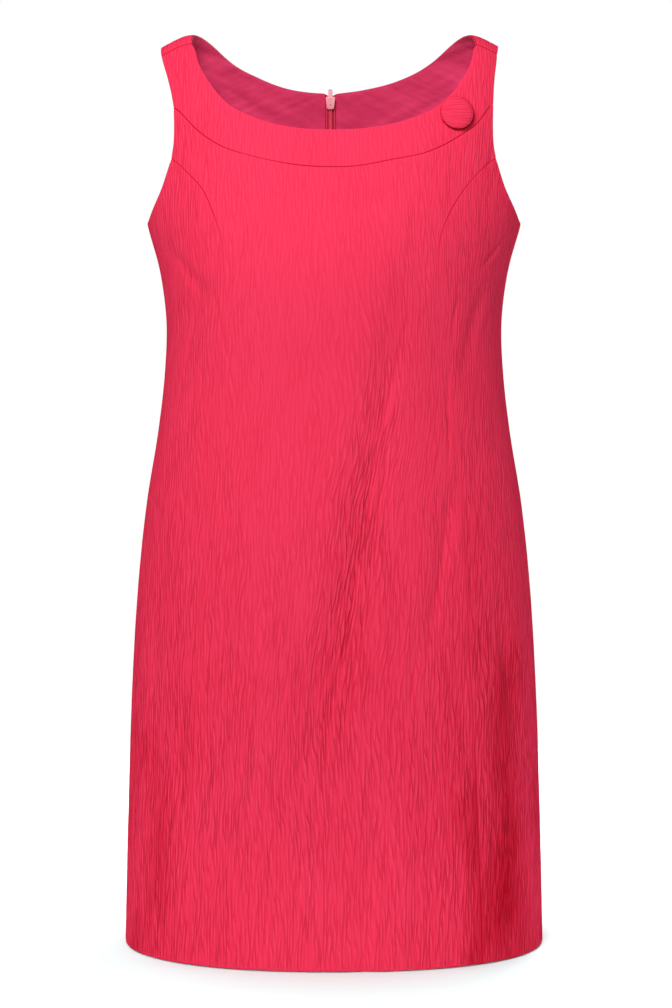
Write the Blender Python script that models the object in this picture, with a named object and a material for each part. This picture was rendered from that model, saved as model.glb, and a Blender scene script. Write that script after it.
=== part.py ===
"""Sleeveless sheath dress, filled out as if worn, with nothing inside it.

Metres, +Z up.  The front faces -Y and the wearer's left is +X.  The origin
lies between the tops of the two shoulders, so the dress hangs below it.

The whole garment is one smooth form, described by two numbers:
  turn   the angle round the body in degrees, 0 at the middle, 90 at the
         side seam of the wearer's left, -90 at that of the right
  reach  the square root of the drop below the shoulder ridge, negative on
         the front and positive on the back, so that a strap can run over
         the shoulder without a break
Every panel is a patch of that form between its seams.  Its wall is made
from the patch's own points, and what lies on a panel from the same points
moved inwards.
"""
import math
from collections import namedtuple

import bmesh
import bpy
import numpy as np
from mathutils import Matrix, Vector

# ---------------------------------------------------------------- sizes
LENGTH = 0.905              # shoulder ridge to hem
CLOTH = 0.0012              # wall of the dress cloth
FACING_CLOTH = 0.0010       # wall of the smooth facing
TAPE_CLOTH = 0.0010         # wall of the zip tape
SEAM_GAP = 0.0003           # between two pieces at a seam
UNDERARM_HEIGHT = -0.188    # the armhole's lowest point
BACK_CENTRE = -0.0036       # the centre-back seam hangs a little to one side
SHOULDER_SLOPE = 0.55       # fall of the shoulder ridge per metre outwards
SHOULDER_START = {-1: 0.1470, 1: 0.1410}    # where the ridge starts to fall
SHOULDER_ROUND = 0.008      # rounding of the ridge where it starts to fall
SHOULDER_SEAM = -0.104      # reach of the shoulder seam, 11 mm down the front
SHOULDER_FADE = (0.06, 0.22)                # drops where the slope dies out
FRONT_SQUARE = 2.25         # 2 is an ellipse, more is squarer
BACK_SQUARE = 2.4

Level = namedtuple("Level", "drop half_width front back")
LEVELS = (
    Level(0.000, 0.240, 0.0000, 0.0000),
    Level(0.010, 0.234, 0.0230, 0.0228),
    Level(0.020, 0.229, 0.0330, 0.0324),
    Level(0.040, 0.219, 0.0480, 0.0455),
    Level(0.070, 0.206, 0.0670, 0.0615),
    Level(0.100, 0.197, 0.0840, 0.0745),
    Level(0.140, 0.1905, 0.1030, 0.0890),
    Level(0.188, 0.1845, 0.1190, 0.0995),
    Level(0.238, 0.1720, 0.1255, 0.1020),
    Level(0.287, 0.1665, 0.1220, 0.0955),
    Level(0.337, 0.1686, 0.1155, 0.0880),
    Level(0.400, 0.1764, 0.1130, 0.0925),
    Level(0.461, 0.1866, 0.1165, 0.1040),
    Level(0.540, 0.1955, 0.1215, 0.1140),
    Level(0.640, 0.2021, 0.1275, 0.1205),
    Level(0.763, 0.2067, 0.1335, 0.1260),
    Level(0.905, 0.2106, 0.1400, 0.1310),
)

# Edges and seams.  across is measured from the middle, height from the
# shoulder ridge.  Paired columns hold the right-hand (-X) and left-hand
# (+X) strap, which hang a little differently.
Place = namedtuple("Place", "across height")
FRONT_NECK = (
    Place(-0.1398, -0.0045), Place(-0.1376, -0.0153), Place(-0.1318, -0.0335),
    Place(-0.1200, -0.0540), Place(-0.1042, -0.0730), Place(-0.0807, -0.0868),
    Place(-0.0555, -0.0955), Place(-0.0300, -0.0998), Place(0.0000, -0.1010),
    Place(0.0346, -0.0989), Place(0.0731, -0.0897), Place(0.1023, -0.0753),
    Place(0.1223, -0.0536), Place(0.1337, -0.0318), Place(0.1390, -0.0140),
    Place(0.1400, -0.0045),
)
YOKE_SEAM = (
    Place(-0.1349, -0.0976), Place(-0.1239, -0.1068), Place(-0.1096, -0.1160),
    Place(-0.0801, -0.1263), Place(-0.0551, -0.1324), Place(-0.0303, -0.1365),
    Place(-0.0037, -0.1380), Place(0.0191, -0.1372), Place(0.0563, -0.1305),
    Place(0.0909, -0.1223), Place(0.1104, -0.1130), Place(0.1261, -0.1028),
    Place(0.1370, -0.0950),
)
BACK_NECK = {
    -1: (Place(-0.1207, -0.0093), Place(-0.1014, -0.0254),
         Place(-0.0756, -0.0384), Place(-0.0496, -0.0477),
         Place(-0.0233, -0.0519), Place(-0.0102, -0.0527)),
    1: (Place(0.1139, -0.0110), Place(0.1013, -0.0218),
        Place(0.0875, -0.0309), Place(0.0666, -0.0402),
        Place(0.0293, -0.0495), Place(0.0030, -0.0529)),
}
NECK_AT_RIDGE = {-1: -0.1378, 1: 0.1332}
ZIP_NOTCH_HEIGHT = -0.0559  # where the neck edge dips at the zip

Edge = namedtuple("Edge", "height right left")
FRONT_ARMHOLE = (
    Edge(-0.0388, 0.1652, 0.1582),
    Edge(-0.0550, 0.1605, 0.1563),
    Edge(-0.0740, 0.1563, 0.1551),
    Edge(-0.0950, 0.1553, 0.1545),
    Edge(-0.1120, 0.1556, 0.1549),
    Edge(-0.1265, 0.1574, 0.1570),
    Edge(-0.1420, 0.1626, 0.1617),
    Edge(-0.1575, 0.1684, 0.1675),
    Edge(-0.1720, 0.1757, 0.1752),
    Edge(-0.1830, 0.1814, 0.1810),
)
BACK_ARMHOLE = (
    Edge(-0.0300, 0.1680, 0.1592),
    Edge(-0.0500, 0.1640, 0.1580),
    Edge(-0.0800, 0.1602, 0.1575),
    Edge(-0.1050, 0.1595, 0.1580),
    Edge(-0.1300, 0.1612, 0.1603),
    Edge(-0.1500, 0.1655, 0.1650),
    Edge(-0.1680, 0.1722, 0.1720),
    Edge(-0.1810, 0.1795, 0.1795),
)
ARMHOLE_AT_SEAM = {-1: -0.1697, 1: 0.1603}      # at the shoulder seam
ARMHOLE_AT_RIDGE = {-1: -0.1715, 1: 0.1630}
YOKE_END_HEIGHT = {-1: -0.0768, 1: -0.0722}     # yoke seam at the armhole
PRINCESS_START_HEIGHT = {-1: -0.1270, 1: -0.1262}
PRINCESS_SEAM = (
    Edge(-0.1416, 0.1410, 0.1392),
    Edge(-0.1590, 0.1256, 0.1245),
    Edge(-0.1790, 0.1165, 0.1118),
    Edge(-0.2040, 0.1080, 0.1020),
    Edge(-0.2400, 0.1050, 0.1000),
    Edge(-0.3000, 0.1085, 0.1055),
    Edge(-0.3600, 0.1140, 0.1140),
    Edge(-0.4560, 0.1212, 0.1225),
    Edge(-0.5520, 0.1285, 0.1275),
    Edge(-0.6900, 0.1355, 0.1358),
    Edge(-0.8000, 0.1385, 0.1405),
)
PRINCESS_AT_HEM = {-1: 0.1400, 1: 0.1440}

# Folds pressed into the cloth, as soft troughs.  Angles run round the body
# from the front, positive to the wearer's left and 180 at the centre back.
# A negative depth is a ridge.
Fold = namedtuple("Fold", "angle_1 height_1 angle_2 height_2 angle_3 height_3 half_width depth")
FOLDS = (
    Fold(25, -0.23, 8, -0.45, -5, -0.70, 0.020, 0.0040),       # main diagonal
    Fold(38, -0.44, 32, -0.52, 25, -0.63, 0.010, 0.0030),
    Fold(11, -0.71, 13, -0.77, 12, -0.83, 0.012, 0.0022),
    Fold(7, -0.80, 7, -0.86, 8, -0.93, 0.012, 0.0022),
    Fold(-39, -0.57, -30, -0.63, -11, -0.655, 0.011, 0.0026),  # drag lines
    Fold(-44, -0.70, -34, -0.73, -22, -0.74, 0.011, 0.0022),
    Fold(-43, -0.25, -55, -0.27, -69, -0.305, 0.011, 0.0028),  # waist creases
    Fold(-63, -0.22, -54, -0.24, -45, -0.265, 0.010, 0.0022),
    Fold(60, -0.25, 52, -0.29, 48, -0.34, 0.011, 0.0024),
    Fold(1, -0.185, 10, -0.17, 21, -0.160, 0.013, 0.0016),
    Fold(54, -0.55, 58, -0.62, 62, -0.70, 0.014, 0.0034),
    Fold(39, -0.46, 40, -0.53, 41, -0.61, 0.009, -0.0016),
    Fold(-60, -0.50, -63, -0.62, -60, -0.76, 0.018, 0.0026),
    Fold(-128, -0.26, -146, -0.29, -163, -0.335, 0.015, 0.0032),
    Fold(126, -0.28, 145, -0.30, 166, -0.350, 0.014, 0.0028),
    Fold(-150, -0.45, -164, -0.62, -157, -0.82, 0.020, 0.0036),
    Fold(155, -0.50, 147, -0.66, 150, -0.86, 0.019, 0.0032),
    Fold(124, -0.58, 117, -0.72, 119, -0.89, 0.020, 0.0034),
    Fold(-122, -0.53, -113, -0.70, -116, -0.90, 0.020, 0.0034),
    Fold(98, -0.33, 104, -0.42, 101, -0.52, 0.016, 0.0028),
    Fold(-97, -0.31, -103, -0.40, -99, -0.50, 0.016, 0.0028),
    Fold(-140, -0.13, -150, -0.17, -166, -0.19, 0.014, 0.0020),
    Fold(143, -0.14, 153, -0.17, 164, -0.20, 0.014, 0.0020),
)
FOLD_ARM = 0.185            # radius that turns an angle into a distance

# Cells in each stretch of a panel, shared by the panels on both sides of
# a seam so that their edges run side by side.
YOKE_MIDDLE_CELLS = 24      # also across the centre front
YOKE_STRAP_CELLS = 4
STRAP_ACROSS_CELLS = 5
ARMHOLE_UPPER_CELLS = 2     # yoke seam to princess seam
ARMHOLE_LOWER_CELLS = 6     # princess seam to underarm
SIDE_SEAM_CELLS = 29
SIDE_SEAM_CROWD = 1.15      # above 1 the cells grow towards the hem
SIDE_ACROSS_CELLS = 10
BACK_ACROSS_CELLS = 15      # three for each cell across the strap
BACK_ARMHOLE_CELLS = 14
BACK_NECK_CELLS = 9         # the last one is the zip notch
CENTRE_BACK_TURN = -0.262   # where the rows of the back lie level with
                            # the side seam's top
SIDE_TOP_WIDTH = 0.004      # the side front ends blunt at the armhole

FACING_ACROSS_CELLS = 11
FACING_DOWN_CELLS = 2       # below the neck edge at the centre back
FACING_ZIP_CLEARANCE = 0.0058               # facing edge to centre back
TAPE_WIDTH = 0.0052
TAPE_END_ROW = 13           # cells of the back that the zip runs down
TAPE_TOP_DROP = 0.005       # tape starts this far below the neck edge

BUTTON_RADIUS = 0.0160
BUTTON_PLACE = Place(0.1176, -0.0842)
BUTTON_TILT_UP = math.radians(15)           # the shank lets it droop
BUTTON_TILT_OUT = math.radians(11)
BUTTON_STANDOFF = 0.0046    # cloth to the button's back, at its middle
BUTTON_EDGE = 0.0030        # height of the rounded edge
BUTTON_DOME = 0.0028        # rise of the dome above the edge
BUTTON_SHANK_RADIUS = 0.0040
BUTTON_SIDES = 40
BUTTON_DOME_RINGS = 5

# Zip slider, in a frame on the cloth at the top of the zip: across, down
# along the back, and out from the cloth.
BODY_TOP_WIDTH = 0.0096
BODY_END_WIDTH = 0.0070
BODY_DOWN = (-0.0014, 0.0112)
BODY_OUT = (-0.0056, -0.0029)
POST_WIDTH = 0.0044
POST_OUT = (-0.0052, -0.0034)
BRIDGE_WIDTH = 0.0020
BRIDGE_DOWN = (-0.0072, 0.0050)
BRIDGE_OUT = (0.0004, 0.0048)
BRIDGE_THICK = 0.0014
BRIDGE_SINK = 0.0008        # overlap of one block into the next
WINDOW_DOWN = (-0.0054, 0.0036)
WINDOW_OUT = (0.0014, 0.0034)
HINGE_DOWN = 0.0025         # pull's hinge line, in the bridge's window
HINGE_OUT = 0.0024
PULL_THICK = 0.0010
PULL_LENGTH = 0.0250
PULL_TOP_WIDTH = 0.0056
PULL_END_WIDTH = 0.0072
PULL_BAR = 0.0005           # half of the bar that turns in the window
PULL_SLOT_WIDTH = 0.0031
PULL_SLOT_END = 0.0034      # slot's end, below the hinge line
PULL_LEAN = math.radians(3.0)               # towards the cloth, at rest

Finish = namedtuple("Finish", "colour roughness metallic")
CRINKLE = Finish((0.93, 0.050, 0.125), 0.62, 0.0)
SMOOTH_CLOTH = Finish((0.62, 0.040, 0.100), 0.55, 0.0)
TAPE = Finish((0.52, 0.020, 0.070), 0.60, 0.0)
ENAMEL = Finish((0.84, 0.29, 0.34), 0.35, 0.0)


# ---------------------------------------------------------------- form
def between(columns, places, at):
    """Smooth curve through a table: columns at places, read at `at`."""
    at = np.clip(at, places[0], places[-1])
    low = np.clip(np.searchsorted(places, at, side="right") - 1, 0, len(places) - 2)
    slope = np.gradient(columns, places)
    step = places[low + 1] - places[low]
    s = (at - places[low]) / step
    return ((2 * s**3 - 3 * s**2 + 1) * columns[low]
            + (s**3 - 2 * s**2 + s) * step * slope[low]
            + (3 * s**2 - 2 * s**3) * columns[low + 1]
            + (s**3 - s**2) * step * slope[low + 1])


LEVEL_REACH = np.sqrt([level.drop for level in LEVELS])
LEVEL_WIDTH = np.array([level.half_width for level in LEVELS])
LEVEL_FRONT = np.array([level.front for level in LEVELS])
LEVEL_BACK = np.array([level.back for level in LEVELS])


def shoulder_ridge(across):
    """Height of the shoulder ridge, 0 at the neck and falling outwards."""
    start = np.where(across < 0, SHOULDER_START[-1], SHOULDER_START[1])
    past = np.abs(across) - start
    return -SHOULDER_SLOPE * (past + np.sqrt(past**2 + SHOULDER_ROUND**2)) / 2


def slope_share(drop):
    """How much of the shoulder's slope is left at this drop."""
    s = np.clip((drop - SHOULDER_FADE[0]) / (SHOULDER_FADE[1] - SHOULDER_FADE[0]), 0, 1)
    return 1 - s * s * (3 - 2 * s)


def form(turn, reach):
    """Points of the smooth form.  A turn past 90 goes on round the side."""
    turn = np.asarray(turn, float)
    reach = np.asarray(reach, float)
    sine = np.sin(np.radians(turn))
    cosine = np.cos(np.radians(turn))
    side = np.where(cosine < -1e-9, -1.0, 1.0) * np.where(reach < 0, -1.0, 1.0)
    depth = np.where(side < 0, between(LEVEL_FRONT, LEVEL_REACH, np.abs(reach)),
                     between(LEVEL_BACK, LEVEL_REACH, np.abs(reach)))
    square = np.where(side < 0, FRONT_SQUARE, BACK_SQUARE)
    share = np.clip(1 - np.abs(sine)**square, 0, 1)**(1 / square)
    across = between(LEVEL_WIDTH, LEVEL_REACH, np.abs(reach)) * sine
    drop = reach**2
    height = shoulder_ridge(across) * slope_share(drop) - drop
    return np.stack([across, side * depth * share, height], axis=-1)


def outward(turn, reach):
    """Unit normals of the smooth form, pointing away from the body."""
    turn_step = 0.2
    reach_step = 0.0005
    round_body = form(turn + turn_step, reach) - form(turn - turn_step, reach)
    down_body = form(turn, reach + reach_step) - form(turn, reach - reach_step)
    normal = np.cross(round_body, down_body)
    return normal / np.linalg.norm(normal, axis=-1, keepdims=True)


def fold_relief(turn, reach):
    """How far the folds move the cloth outwards."""
    height = form(turn, reach)[..., 2]
    angle = np.where(reach < 0, turn, np.where(turn < 0, -180 - turn, 180 - turn))
    relief = np.zeros(np.shape(height))
    for fold in FOLDS:
        nearest = np.full(np.shape(height), np.inf)
        at = np.zeros(np.shape(height))
        for s in np.linspace(0, 1, 13):
            fold_angle = ((1 - s)**2 * fold.angle_1 + s**2 * fold.angle_3
                          + 2 * s * (1 - s) * fold.angle_2)
            fold_height = ((1 - s)**2 * fold.height_1 + s**2 * fold.height_3
                           + 2 * s * (1 - s) * fold.height_2)
            away = np.hypot(np.radians(angle - fold_angle) * FOLD_ARM,
                            height - fold_height)
            at = np.where(away < nearest, s, at)
            nearest = np.minimum(nearest, away)
        wide = nearest / fold.half_width
        ends = np.sin(np.pi * np.clip(at, 0.06, 0.94))**0.6
        relief -= fold.depth * ends * (1 - 0.35 * wide**2) * np.exp(-wide**2 * 0.9)
    return relief


def at_place(across, height, side):
    """Turn and reach of a point given by its place on the front or back."""
    drop = -height
    for _ in range(30):
        drop = max(float(shoulder_ridge(across) * slope_share(drop)) - height, 0.0)
    reach = side * math.sqrt(drop)
    width = float(between(LEVEL_WIDTH, LEVEL_REACH, abs(reach)))
    return (math.degrees(math.asin(max(-1.0, min(1.0, across / width)))), reach)


def at_reach(across, reach):
    """Turn and reach of a point of a strap, given by its reach."""
    width = float(between(LEVEL_WIDTH, LEVEL_REACH, abs(reach)))
    return (math.degrees(math.asin(across / width)), reach)


def at_side(height, side, front_or_back):
    """Turn and reach of a point of the side seam."""
    drop = -height
    for _ in range(30):
        width = float(between(LEVEL_WIDTH, LEVEL_REACH, math.sqrt(drop)))
        drop = float(shoulder_ridge(side * width) * slope_share(drop)) - height
    return (90.0 * side, front_or_back * math.sqrt(drop))


def trace(knots, cells, crowd=1.0):
    """Points along a smooth curve through the knots, evenly spaced, or
    closer together at its start if crowd is above 1."""
    knots = np.array(knots, float)
    if len(knots) == 2:
        fine = np.linspace(knots[0], knots[1], 200)
    else:
        chord = np.linalg.norm(np.diff(form(knots[:, 0], knots[:, 1]), axis=0), axis=1)
        places = np.concatenate([[0], np.cumsum(chord)])
        at = np.linspace(0, places[-1], 400)
        fine = np.stack([between(knots[:, 0], places, at),
                         between(knots[:, 1], places, at)], axis=-1)
    steps = np.linalg.norm(np.diff(form(fine[:, 0], fine[:, 1]), axis=0), axis=1)
    run = np.concatenate([[0], np.cumsum(steps)])
    at = run[-1] * np.linspace(0, 1, cells + 1)**crowd
    return np.stack([np.interp(at, run, fine[:, 0]), np.interp(at, run, fine[:, 1])], axis=-1)


def patch(top, bottom, start, end, level_soon=1):
    """Grid of turns and reaches between four edges that share corners.

    A higher level_soon brings the rows from the top edge's shape to the
    bottom edge's sooner.
    """
    across = np.linspace(0, 1, len(top))[None, :, None]
    down = 1 - (1 - np.linspace(0, 1, len(start))[:, None, None])**level_soon
    corners = ((1 - across) * (1 - down) * top[0] + across * (1 - down) * top[-1]
               + (1 - across) * down * bottom[0] + across * down * bottom[-1])
    return ((1 - down) * top[None] + down * bottom[None]
            + (1 - across) * start[:, None] + across * end[:, None] - corners)


def joined(*stretches):
    """One edge from several, each starting where the last one ends."""
    return np.concatenate([stretches[0]] + [s[1:] for s in stretches[1:]])


# ---------------------------------------------------------------- seams
def signed(side, edge):
    return side * (edge.right if side < 0 else edge.left)


def armhole_knots(side, table, front_or_back, low, high):
    """Table rows of an armhole whose heights lie between two heights."""
    return [at_place(signed(side, edge), edge.height, front_or_back)
            for edge in table if low < edge.height < high]


def armhole_point(side, height):
    """Point of the front armhole's edge at a height."""
    heights = np.array([edge.height for edge in FRONT_ARMHOLE])[::-1]
    across = np.array([signed(side, edge) for edge in FRONT_ARMHOLE])[::-1]
    return at_place(float(between(across, heights, height)), height, -1)


def neck_front():
    """Neck edge of the yoke, split into strap, middle and strap."""
    knots = [at_reach(FRONT_NECK[0].across, SHOULDER_SEAM)]
    knots += [at_place(p.across, p.height, -1) for p in FRONT_NECK[1:-1]]
    knots += [at_reach(FRONT_NECK[-1].across, SHOULDER_SEAM)]
    fine = trace(knots, 400)
    points = form(fine[:, 0], fine[:, 1])
    corners = []
    for side in (-1, 1):
        corner = form(*armhole_point(side, YOKE_END_HEIGHT[side]))
        corners.append(int(np.argmin(np.linalg.norm(points - corner, axis=1))))
    first, last = corners
    return (trace(fine[:first + 1], YOKE_STRAP_CELLS),
            trace(fine[first:last + 1], YOKE_MIDDLE_CELLS),
            trace(fine[last:], YOKE_STRAP_CELLS))


def yoke_seam():
    knots = [armhole_point(-1, YOKE_END_HEIGHT[-1])]
    knots += [at_place(p.across, p.height, -1) for p in YOKE_SEAM]
    knots += [armhole_point(1, YOKE_END_HEIGHT[1])]
    return trace(knots, YOKE_MIDDLE_CELLS)


def armhole_strap(side):
    """Front armhole from the shoulder seam down to the yoke seam."""
    end = YOKE_END_HEIGHT[side]
    knots = [at_reach(ARMHOLE_AT_SEAM[side], SHOULDER_SEAM)]
    knots += armhole_knots(side, FRONT_ARMHOLE, -1, end + 0.004, 0)
    return trace(knots + [armhole_point(side, end)], YOKE_STRAP_CELLS)


def armhole_upper(side):
    start = YOKE_END_HEIGHT[side]
    end = PRINCESS_START_HEIGHT[side]
    knots = [armhole_point(side, start)]
    knots += armhole_knots(side, FRONT_ARMHOLE, -1, end + 0.004, start - 0.004)
    return trace(knots + [armhole_point(side, end)], ARMHOLE_UPPER_CELLS)


def armhole_lower(side):
    start = PRINCESS_START_HEIGHT[side]
    knots = [armhole_point(side, start)]
    knots += armhole_knots(side, FRONT_ARMHOLE, -1, UNDERARM_HEIGHT, start - 0.004)
    knots += [at_side(UNDERARM_HEIGHT, side, -1)]
    fine = trace(knots, 400)
    points = form(fine[:, 0], fine[:, 1])
    run = np.linalg.norm(points - points[0], axis=1)
    return trace(fine[int(np.argmax(run > SIDE_TOP_WIDTH)):], ARMHOLE_LOWER_CELLS)


def side_seam(side, front_or_back):
    return trace([at_side(UNDERARM_HEIGHT, side, front_or_back),
                  at_side(-LENGTH, side, front_or_back)],
                 SIDE_SEAM_CELLS, SIDE_SEAM_CROWD)


def princess_seam(side):
    knots = [armhole_point(side, PRINCESS_START_HEIGHT[side])]
    knots += [at_place(signed(side, edge), edge.height, -1) for edge in PRINCESS_SEAM]
    knots += [at_place(side * PRINCESS_AT_HEM[side], -LENGTH, -1)]
    return trace(knots, ARMHOLE_LOWER_CELLS + SIDE_SEAM_CELLS)


def hem(start, end, cells):
    """Level hem between two points, on the front or the back."""
    side = -1 if start[1] < 0 else 1
    turns = np.linspace(start[0], end[0], cells + 1)
    edge = []
    for turn in turns:
        drop = LENGTH
        for _ in range(20):
            width = float(between(LEVEL_WIDTH, LEVEL_REACH, math.sqrt(drop)))
            across = width * math.sin(math.radians(turn))
            drop = LENGTH + float(shoulder_ridge(across) * slope_share(drop))
        edge.append((turn, side * math.sqrt(drop)))
    return np.array(edge)


def back_neck(side):
    """Back neck edge: over the shoulder, along the neck, into the notch."""
    notch = at_place(BACK_CENTRE, ZIP_NOTCH_HEIGHT, 1)
    seam_across = FRONT_NECK[0].across if side < 0 else FRONT_NECK[-1].across
    knots = [at_reach(seam_across, SHOULDER_SEAM), at_reach(NECK_AT_RIDGE[side], 0.0)]
    knots += [at_place(p.across, p.height, 1) for p in BACK_NECK[side]]
    return joined(trace(knots, BACK_NECK_CELLS - 1), trace([knots[-1], notch], 1))


def centre_back():
    """Centre-back seam, in an upper stretch beside the armhole's rows."""
    upper = BACK_ARMHOLE_CELLS - BACK_NECK_CELLS
    heights = (ZIP_NOTCH_HEIGHT, -0.10, -0.15, -0.20, CENTRE_BACK_TURN)
    first = [at_place(BACK_CENTRE, h, 1) for h in heights]
    heights = np.linspace(CENTRE_BACK_TURN, -LENGTH, 26)
    second = [at_place(BACK_CENTRE, h, 1) for h in heights]
    return joined(trace(first, upper), trace(second, SIDE_SEAM_CELLS, SIDE_SEAM_CROWD))


def back_armhole(side):
    knots = [at_reach(ARMHOLE_AT_SEAM[side], SHOULDER_SEAM),
             at_reach(ARMHOLE_AT_RIDGE[side], 0.0)]
    knots += armhole_knots(side, BACK_ARMHOLE, 1, UNDERARM_HEIGHT, 0)
    knots += [at_side(UNDERARM_HEIGHT, side, 1)]
    return trace(knots, BACK_ARMHOLE_CELLS)


# ---------------------------------------------------------------- panels
def front_yoke_grid():
    """Rows run from the neck edge out to the armholes and the yoke seam."""
    neck = joined(*neck_front())
    outer = joined(armhole_strap(-1), yoke_seam(), armhole_strap(1)[::-1])
    first = trace([neck[0], outer[0]], STRAP_ACROSS_CELLS)
    last = trace([neck[-1], outer[-1]], STRAP_ACROSS_CELLS)
    return patch(neck, outer, first, last)


def centre_front_grid():
    right = joined(armhole_upper(-1), princess_seam(-1))
    left = joined(armhole_upper(1), princess_seam(1))
    bottom = hem(right[-1], left[-1], YOKE_MIDDLE_CELLS)
    return patch(yoke_seam(), bottom, right, left, level_soon=16)


def side_front_grid(side):
    inner = princess_seam(side)
    outer = joined(armhole_lower(side), side_seam(side, -1))
    top = trace([inner[0], outer[0]], SIDE_ACROSS_CELLS)
    bottom = hem(inner[-1], outer[-1], SIDE_ACROSS_CELLS)
    return patch(top, bottom, inner, outer)


def back_grid(side):
    inner = joined(back_neck(side), centre_back())
    outer = joined(back_armhole(side), side_seam(side, 1))
    top = trace([inner[0], outer[0]], BACK_ACROSS_CELLS)
    bottom = hem(inner[-1], outer[-1], BACK_ACROSS_CELLS)
    return patch(top, bottom, inner, outer)


def cloth_points(grid):
    """Points of a panel's outer face and its normals, with the folds in."""
    turn = grid[..., 0]
    reach = grid[..., 1]
    normals = outward(turn, reach)
    return form(turn, reach) + normals * fold_relief(turn, reach)[..., None], normals


def draw_in(points, normals, row, column, amount):
    """Move one edge of a grid inwards along the cloth.

    row or column is 0 or -1 for the edge that moves, the other is None.
    """
    if row is not None:
        edge, inside, facing = points[row], points[1 if row == 0 else -2], normals[row]
    else:
        edge, inside = points[:, column], points[:, 1 if column == 0 else -2]
        facing = normals[:, column]
    along = np.gradient(edge, axis=0)
    along /= np.linalg.norm(along, axis=1, keepdims=True)
    inwards = inside - edge
    for direction in (along, facing):
        inwards = inwards - direction * np.sum(inwards * direction, axis=1, keepdims=True)
    inwards /= np.linalg.norm(inwards, axis=1, keepdims=True)
    edge += inwards * amount


def straighten_top(points, normals, step):
    """Lay the top edge's points on chords of every step-th one."""
    for array in (points, normals):
        row = array[0]
        for i in range(len(row)):
            low = i - i % step
            share = (i - low) / step
            if share:
                row[i] = row[low] * (1 - share) + row[low + step] * share


def finish_material(name, finish):
    material = bpy.data.materials.new(name)
    material.use_nodes = True
    shader = material.node_tree.nodes["Principled BSDF"]
    shader.inputs["Base Color"].default_value = (*finish.colour, 1)
    shader.inputs["Roughness"].default_value = finish.roughness
    shader.inputs["Metallic"].default_value = finish.metallic
    material.diffuse_color = (*finish.colour, 1)
    return material


def add_object(name, shape, finish, smooth=True):
    """One named object from a bmesh, faces out, with its own material."""
    bmesh.ops.recalc_face_normals(shape, faces=shape.faces)
    mesh = bpy.data.meshes.new(name)
    shape.to_mesh(mesh)
    shape.free()
    if smooth:
        mesh.shade_smooth()
        mesh.set_sharp_from_angle(angle=math.radians(40))
    mesh.materials.append(finish_material(name, finish))
    thing = bpy.data.objects.new(name, mesh)
    bpy.context.collection.objects.link(thing)
    return thing


def wall(name, points, normals, out, inn, finish):
    """Closed cloth wall between two moves of a grid along its normals."""
    rows, columns = points.shape[:2]
    shape = bmesh.new()
    skins = [[[shape.verts.new(points[j, i] + normals[j, i] * move)
               for i in range(columns)] for j in range(rows)] for move in (out, inn)]
    for skin in skins:
        for j in range(rows - 1):
            for i in range(columns - 1):
                shape.faces.new((skin[j][i], skin[j][i + 1],
                                 skin[j + 1][i + 1], skin[j + 1][i]))
    rim = [(0, i) for i in range(columns)]
    rim += [(j, columns - 1) for j in range(1, rows)]
    rim += [(rows - 1, i) for i in range(columns - 2, -1, -1)]
    rim += [(j, 0) for j in range(rows - 2, 0, -1)]
    for (j, i), (n, m) in zip(rim, rim[1:] + rim[:1]):
        shape.faces.new((skins[0][j][i], skins[0][n][m], skins[1][n][m], skins[1][j][i]))
    return add_object(name, shape, finish)


def shoulder_gap(points, normals):
    """Draw in the two short ends of the yoke at the shoulder seams."""
    for column in (0, -1):
        draw_in(points, normals, None, column, SEAM_GAP / 2)


def make_front_yoke():
    points, normals = cloth_points(front_yoke_grid())
    shoulder_gap(points, normals)
    middle = slice(YOKE_STRAP_CELLS, YOKE_STRAP_CELLS + YOKE_MIDDLE_CELLS + 1)
    draw_in(points[:, middle], normals[:, middle], -1, None, SEAM_GAP / 2)
    wall("front_yoke", points, normals, 0.0, -CLOTH, CRINKLE)


def make_centre_front():
    points, normals = cloth_points(centre_front_grid())
    draw_in(points, normals, 0, None, SEAM_GAP / 2)
    below = slice(ARMHOLE_UPPER_CELLS, None)
    for column in (0, -1):
        draw_in(points[below], normals[below], None, column, SEAM_GAP / 2)
    wall("centre_front", points, normals, 0.0, -CLOTH, CRINKLE)


def make_side_fronts():
    for side, name in ((-1, "side_front_right"), (1, "side_front_left")):
        points, normals = cloth_points(side_front_grid(side))
        draw_in(points, normals, None, 0, SEAM_GAP / 2)
        below = slice(ARMHOLE_LOWER_CELLS, None)
        draw_in(points[below], normals[below], None, -1, SEAM_GAP / 2)
        wall(name, points, normals, 0.0, -CLOTH, CRINKLE)


def make_back(side, word):
    """Back panel with its facing and zip tape, from the same points."""
    points, normals = cloth_points(back_grid(side))
    straighten_top(points, normals, BACK_ACROSS_CELLS // STRAP_ACROSS_CELLS)
    draw_in(points, normals, 0, None, SEAM_GAP / 2)
    seam = slice(BACK_NECK_CELLS, None)
    draw_in(points[seam], normals[seam], None, 0, SEAM_GAP / 2)
    seam = slice(BACK_ARMHOLE_CELLS, None)
    draw_in(points[seam], normals[seam], None, -1, SEAM_GAP / 2)
    wall("back_" + word, points, normals, 0.0, -CLOTH, CRINKLE)
    make_facing(points, normals, word)
    make_zip_tape(points, normals, word)


def make_facing(points, normals, word):
    """Smooth facing inside the back neck, stopping short of the zip."""
    rows = BACK_NECK_CELLS + FACING_DOWN_CELLS + 1
    columns = FACING_ACROSS_CELLS + 1
    face = points[:rows, :columns].copy()
    facing = normals[:rows, :columns]
    for j in range(BACK_NECK_CELLS - 1, rows):
        short = FACING_ZIP_CLEARANCE - abs(face[j, 0, 0] - BACK_CENTRE)
        if short > 0:
            cell = np.linalg.norm(face[j, 1] - face[j, 0])
            face[j, 0] += (face[j, 1] - face[j, 0]) * short / cell
    out = -(CLOTH + SEAM_GAP)
    wall("neck_facing_" + word, face, facing, out, out - FACING_CLOTH, SMOOTH_CLOTH)


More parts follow.
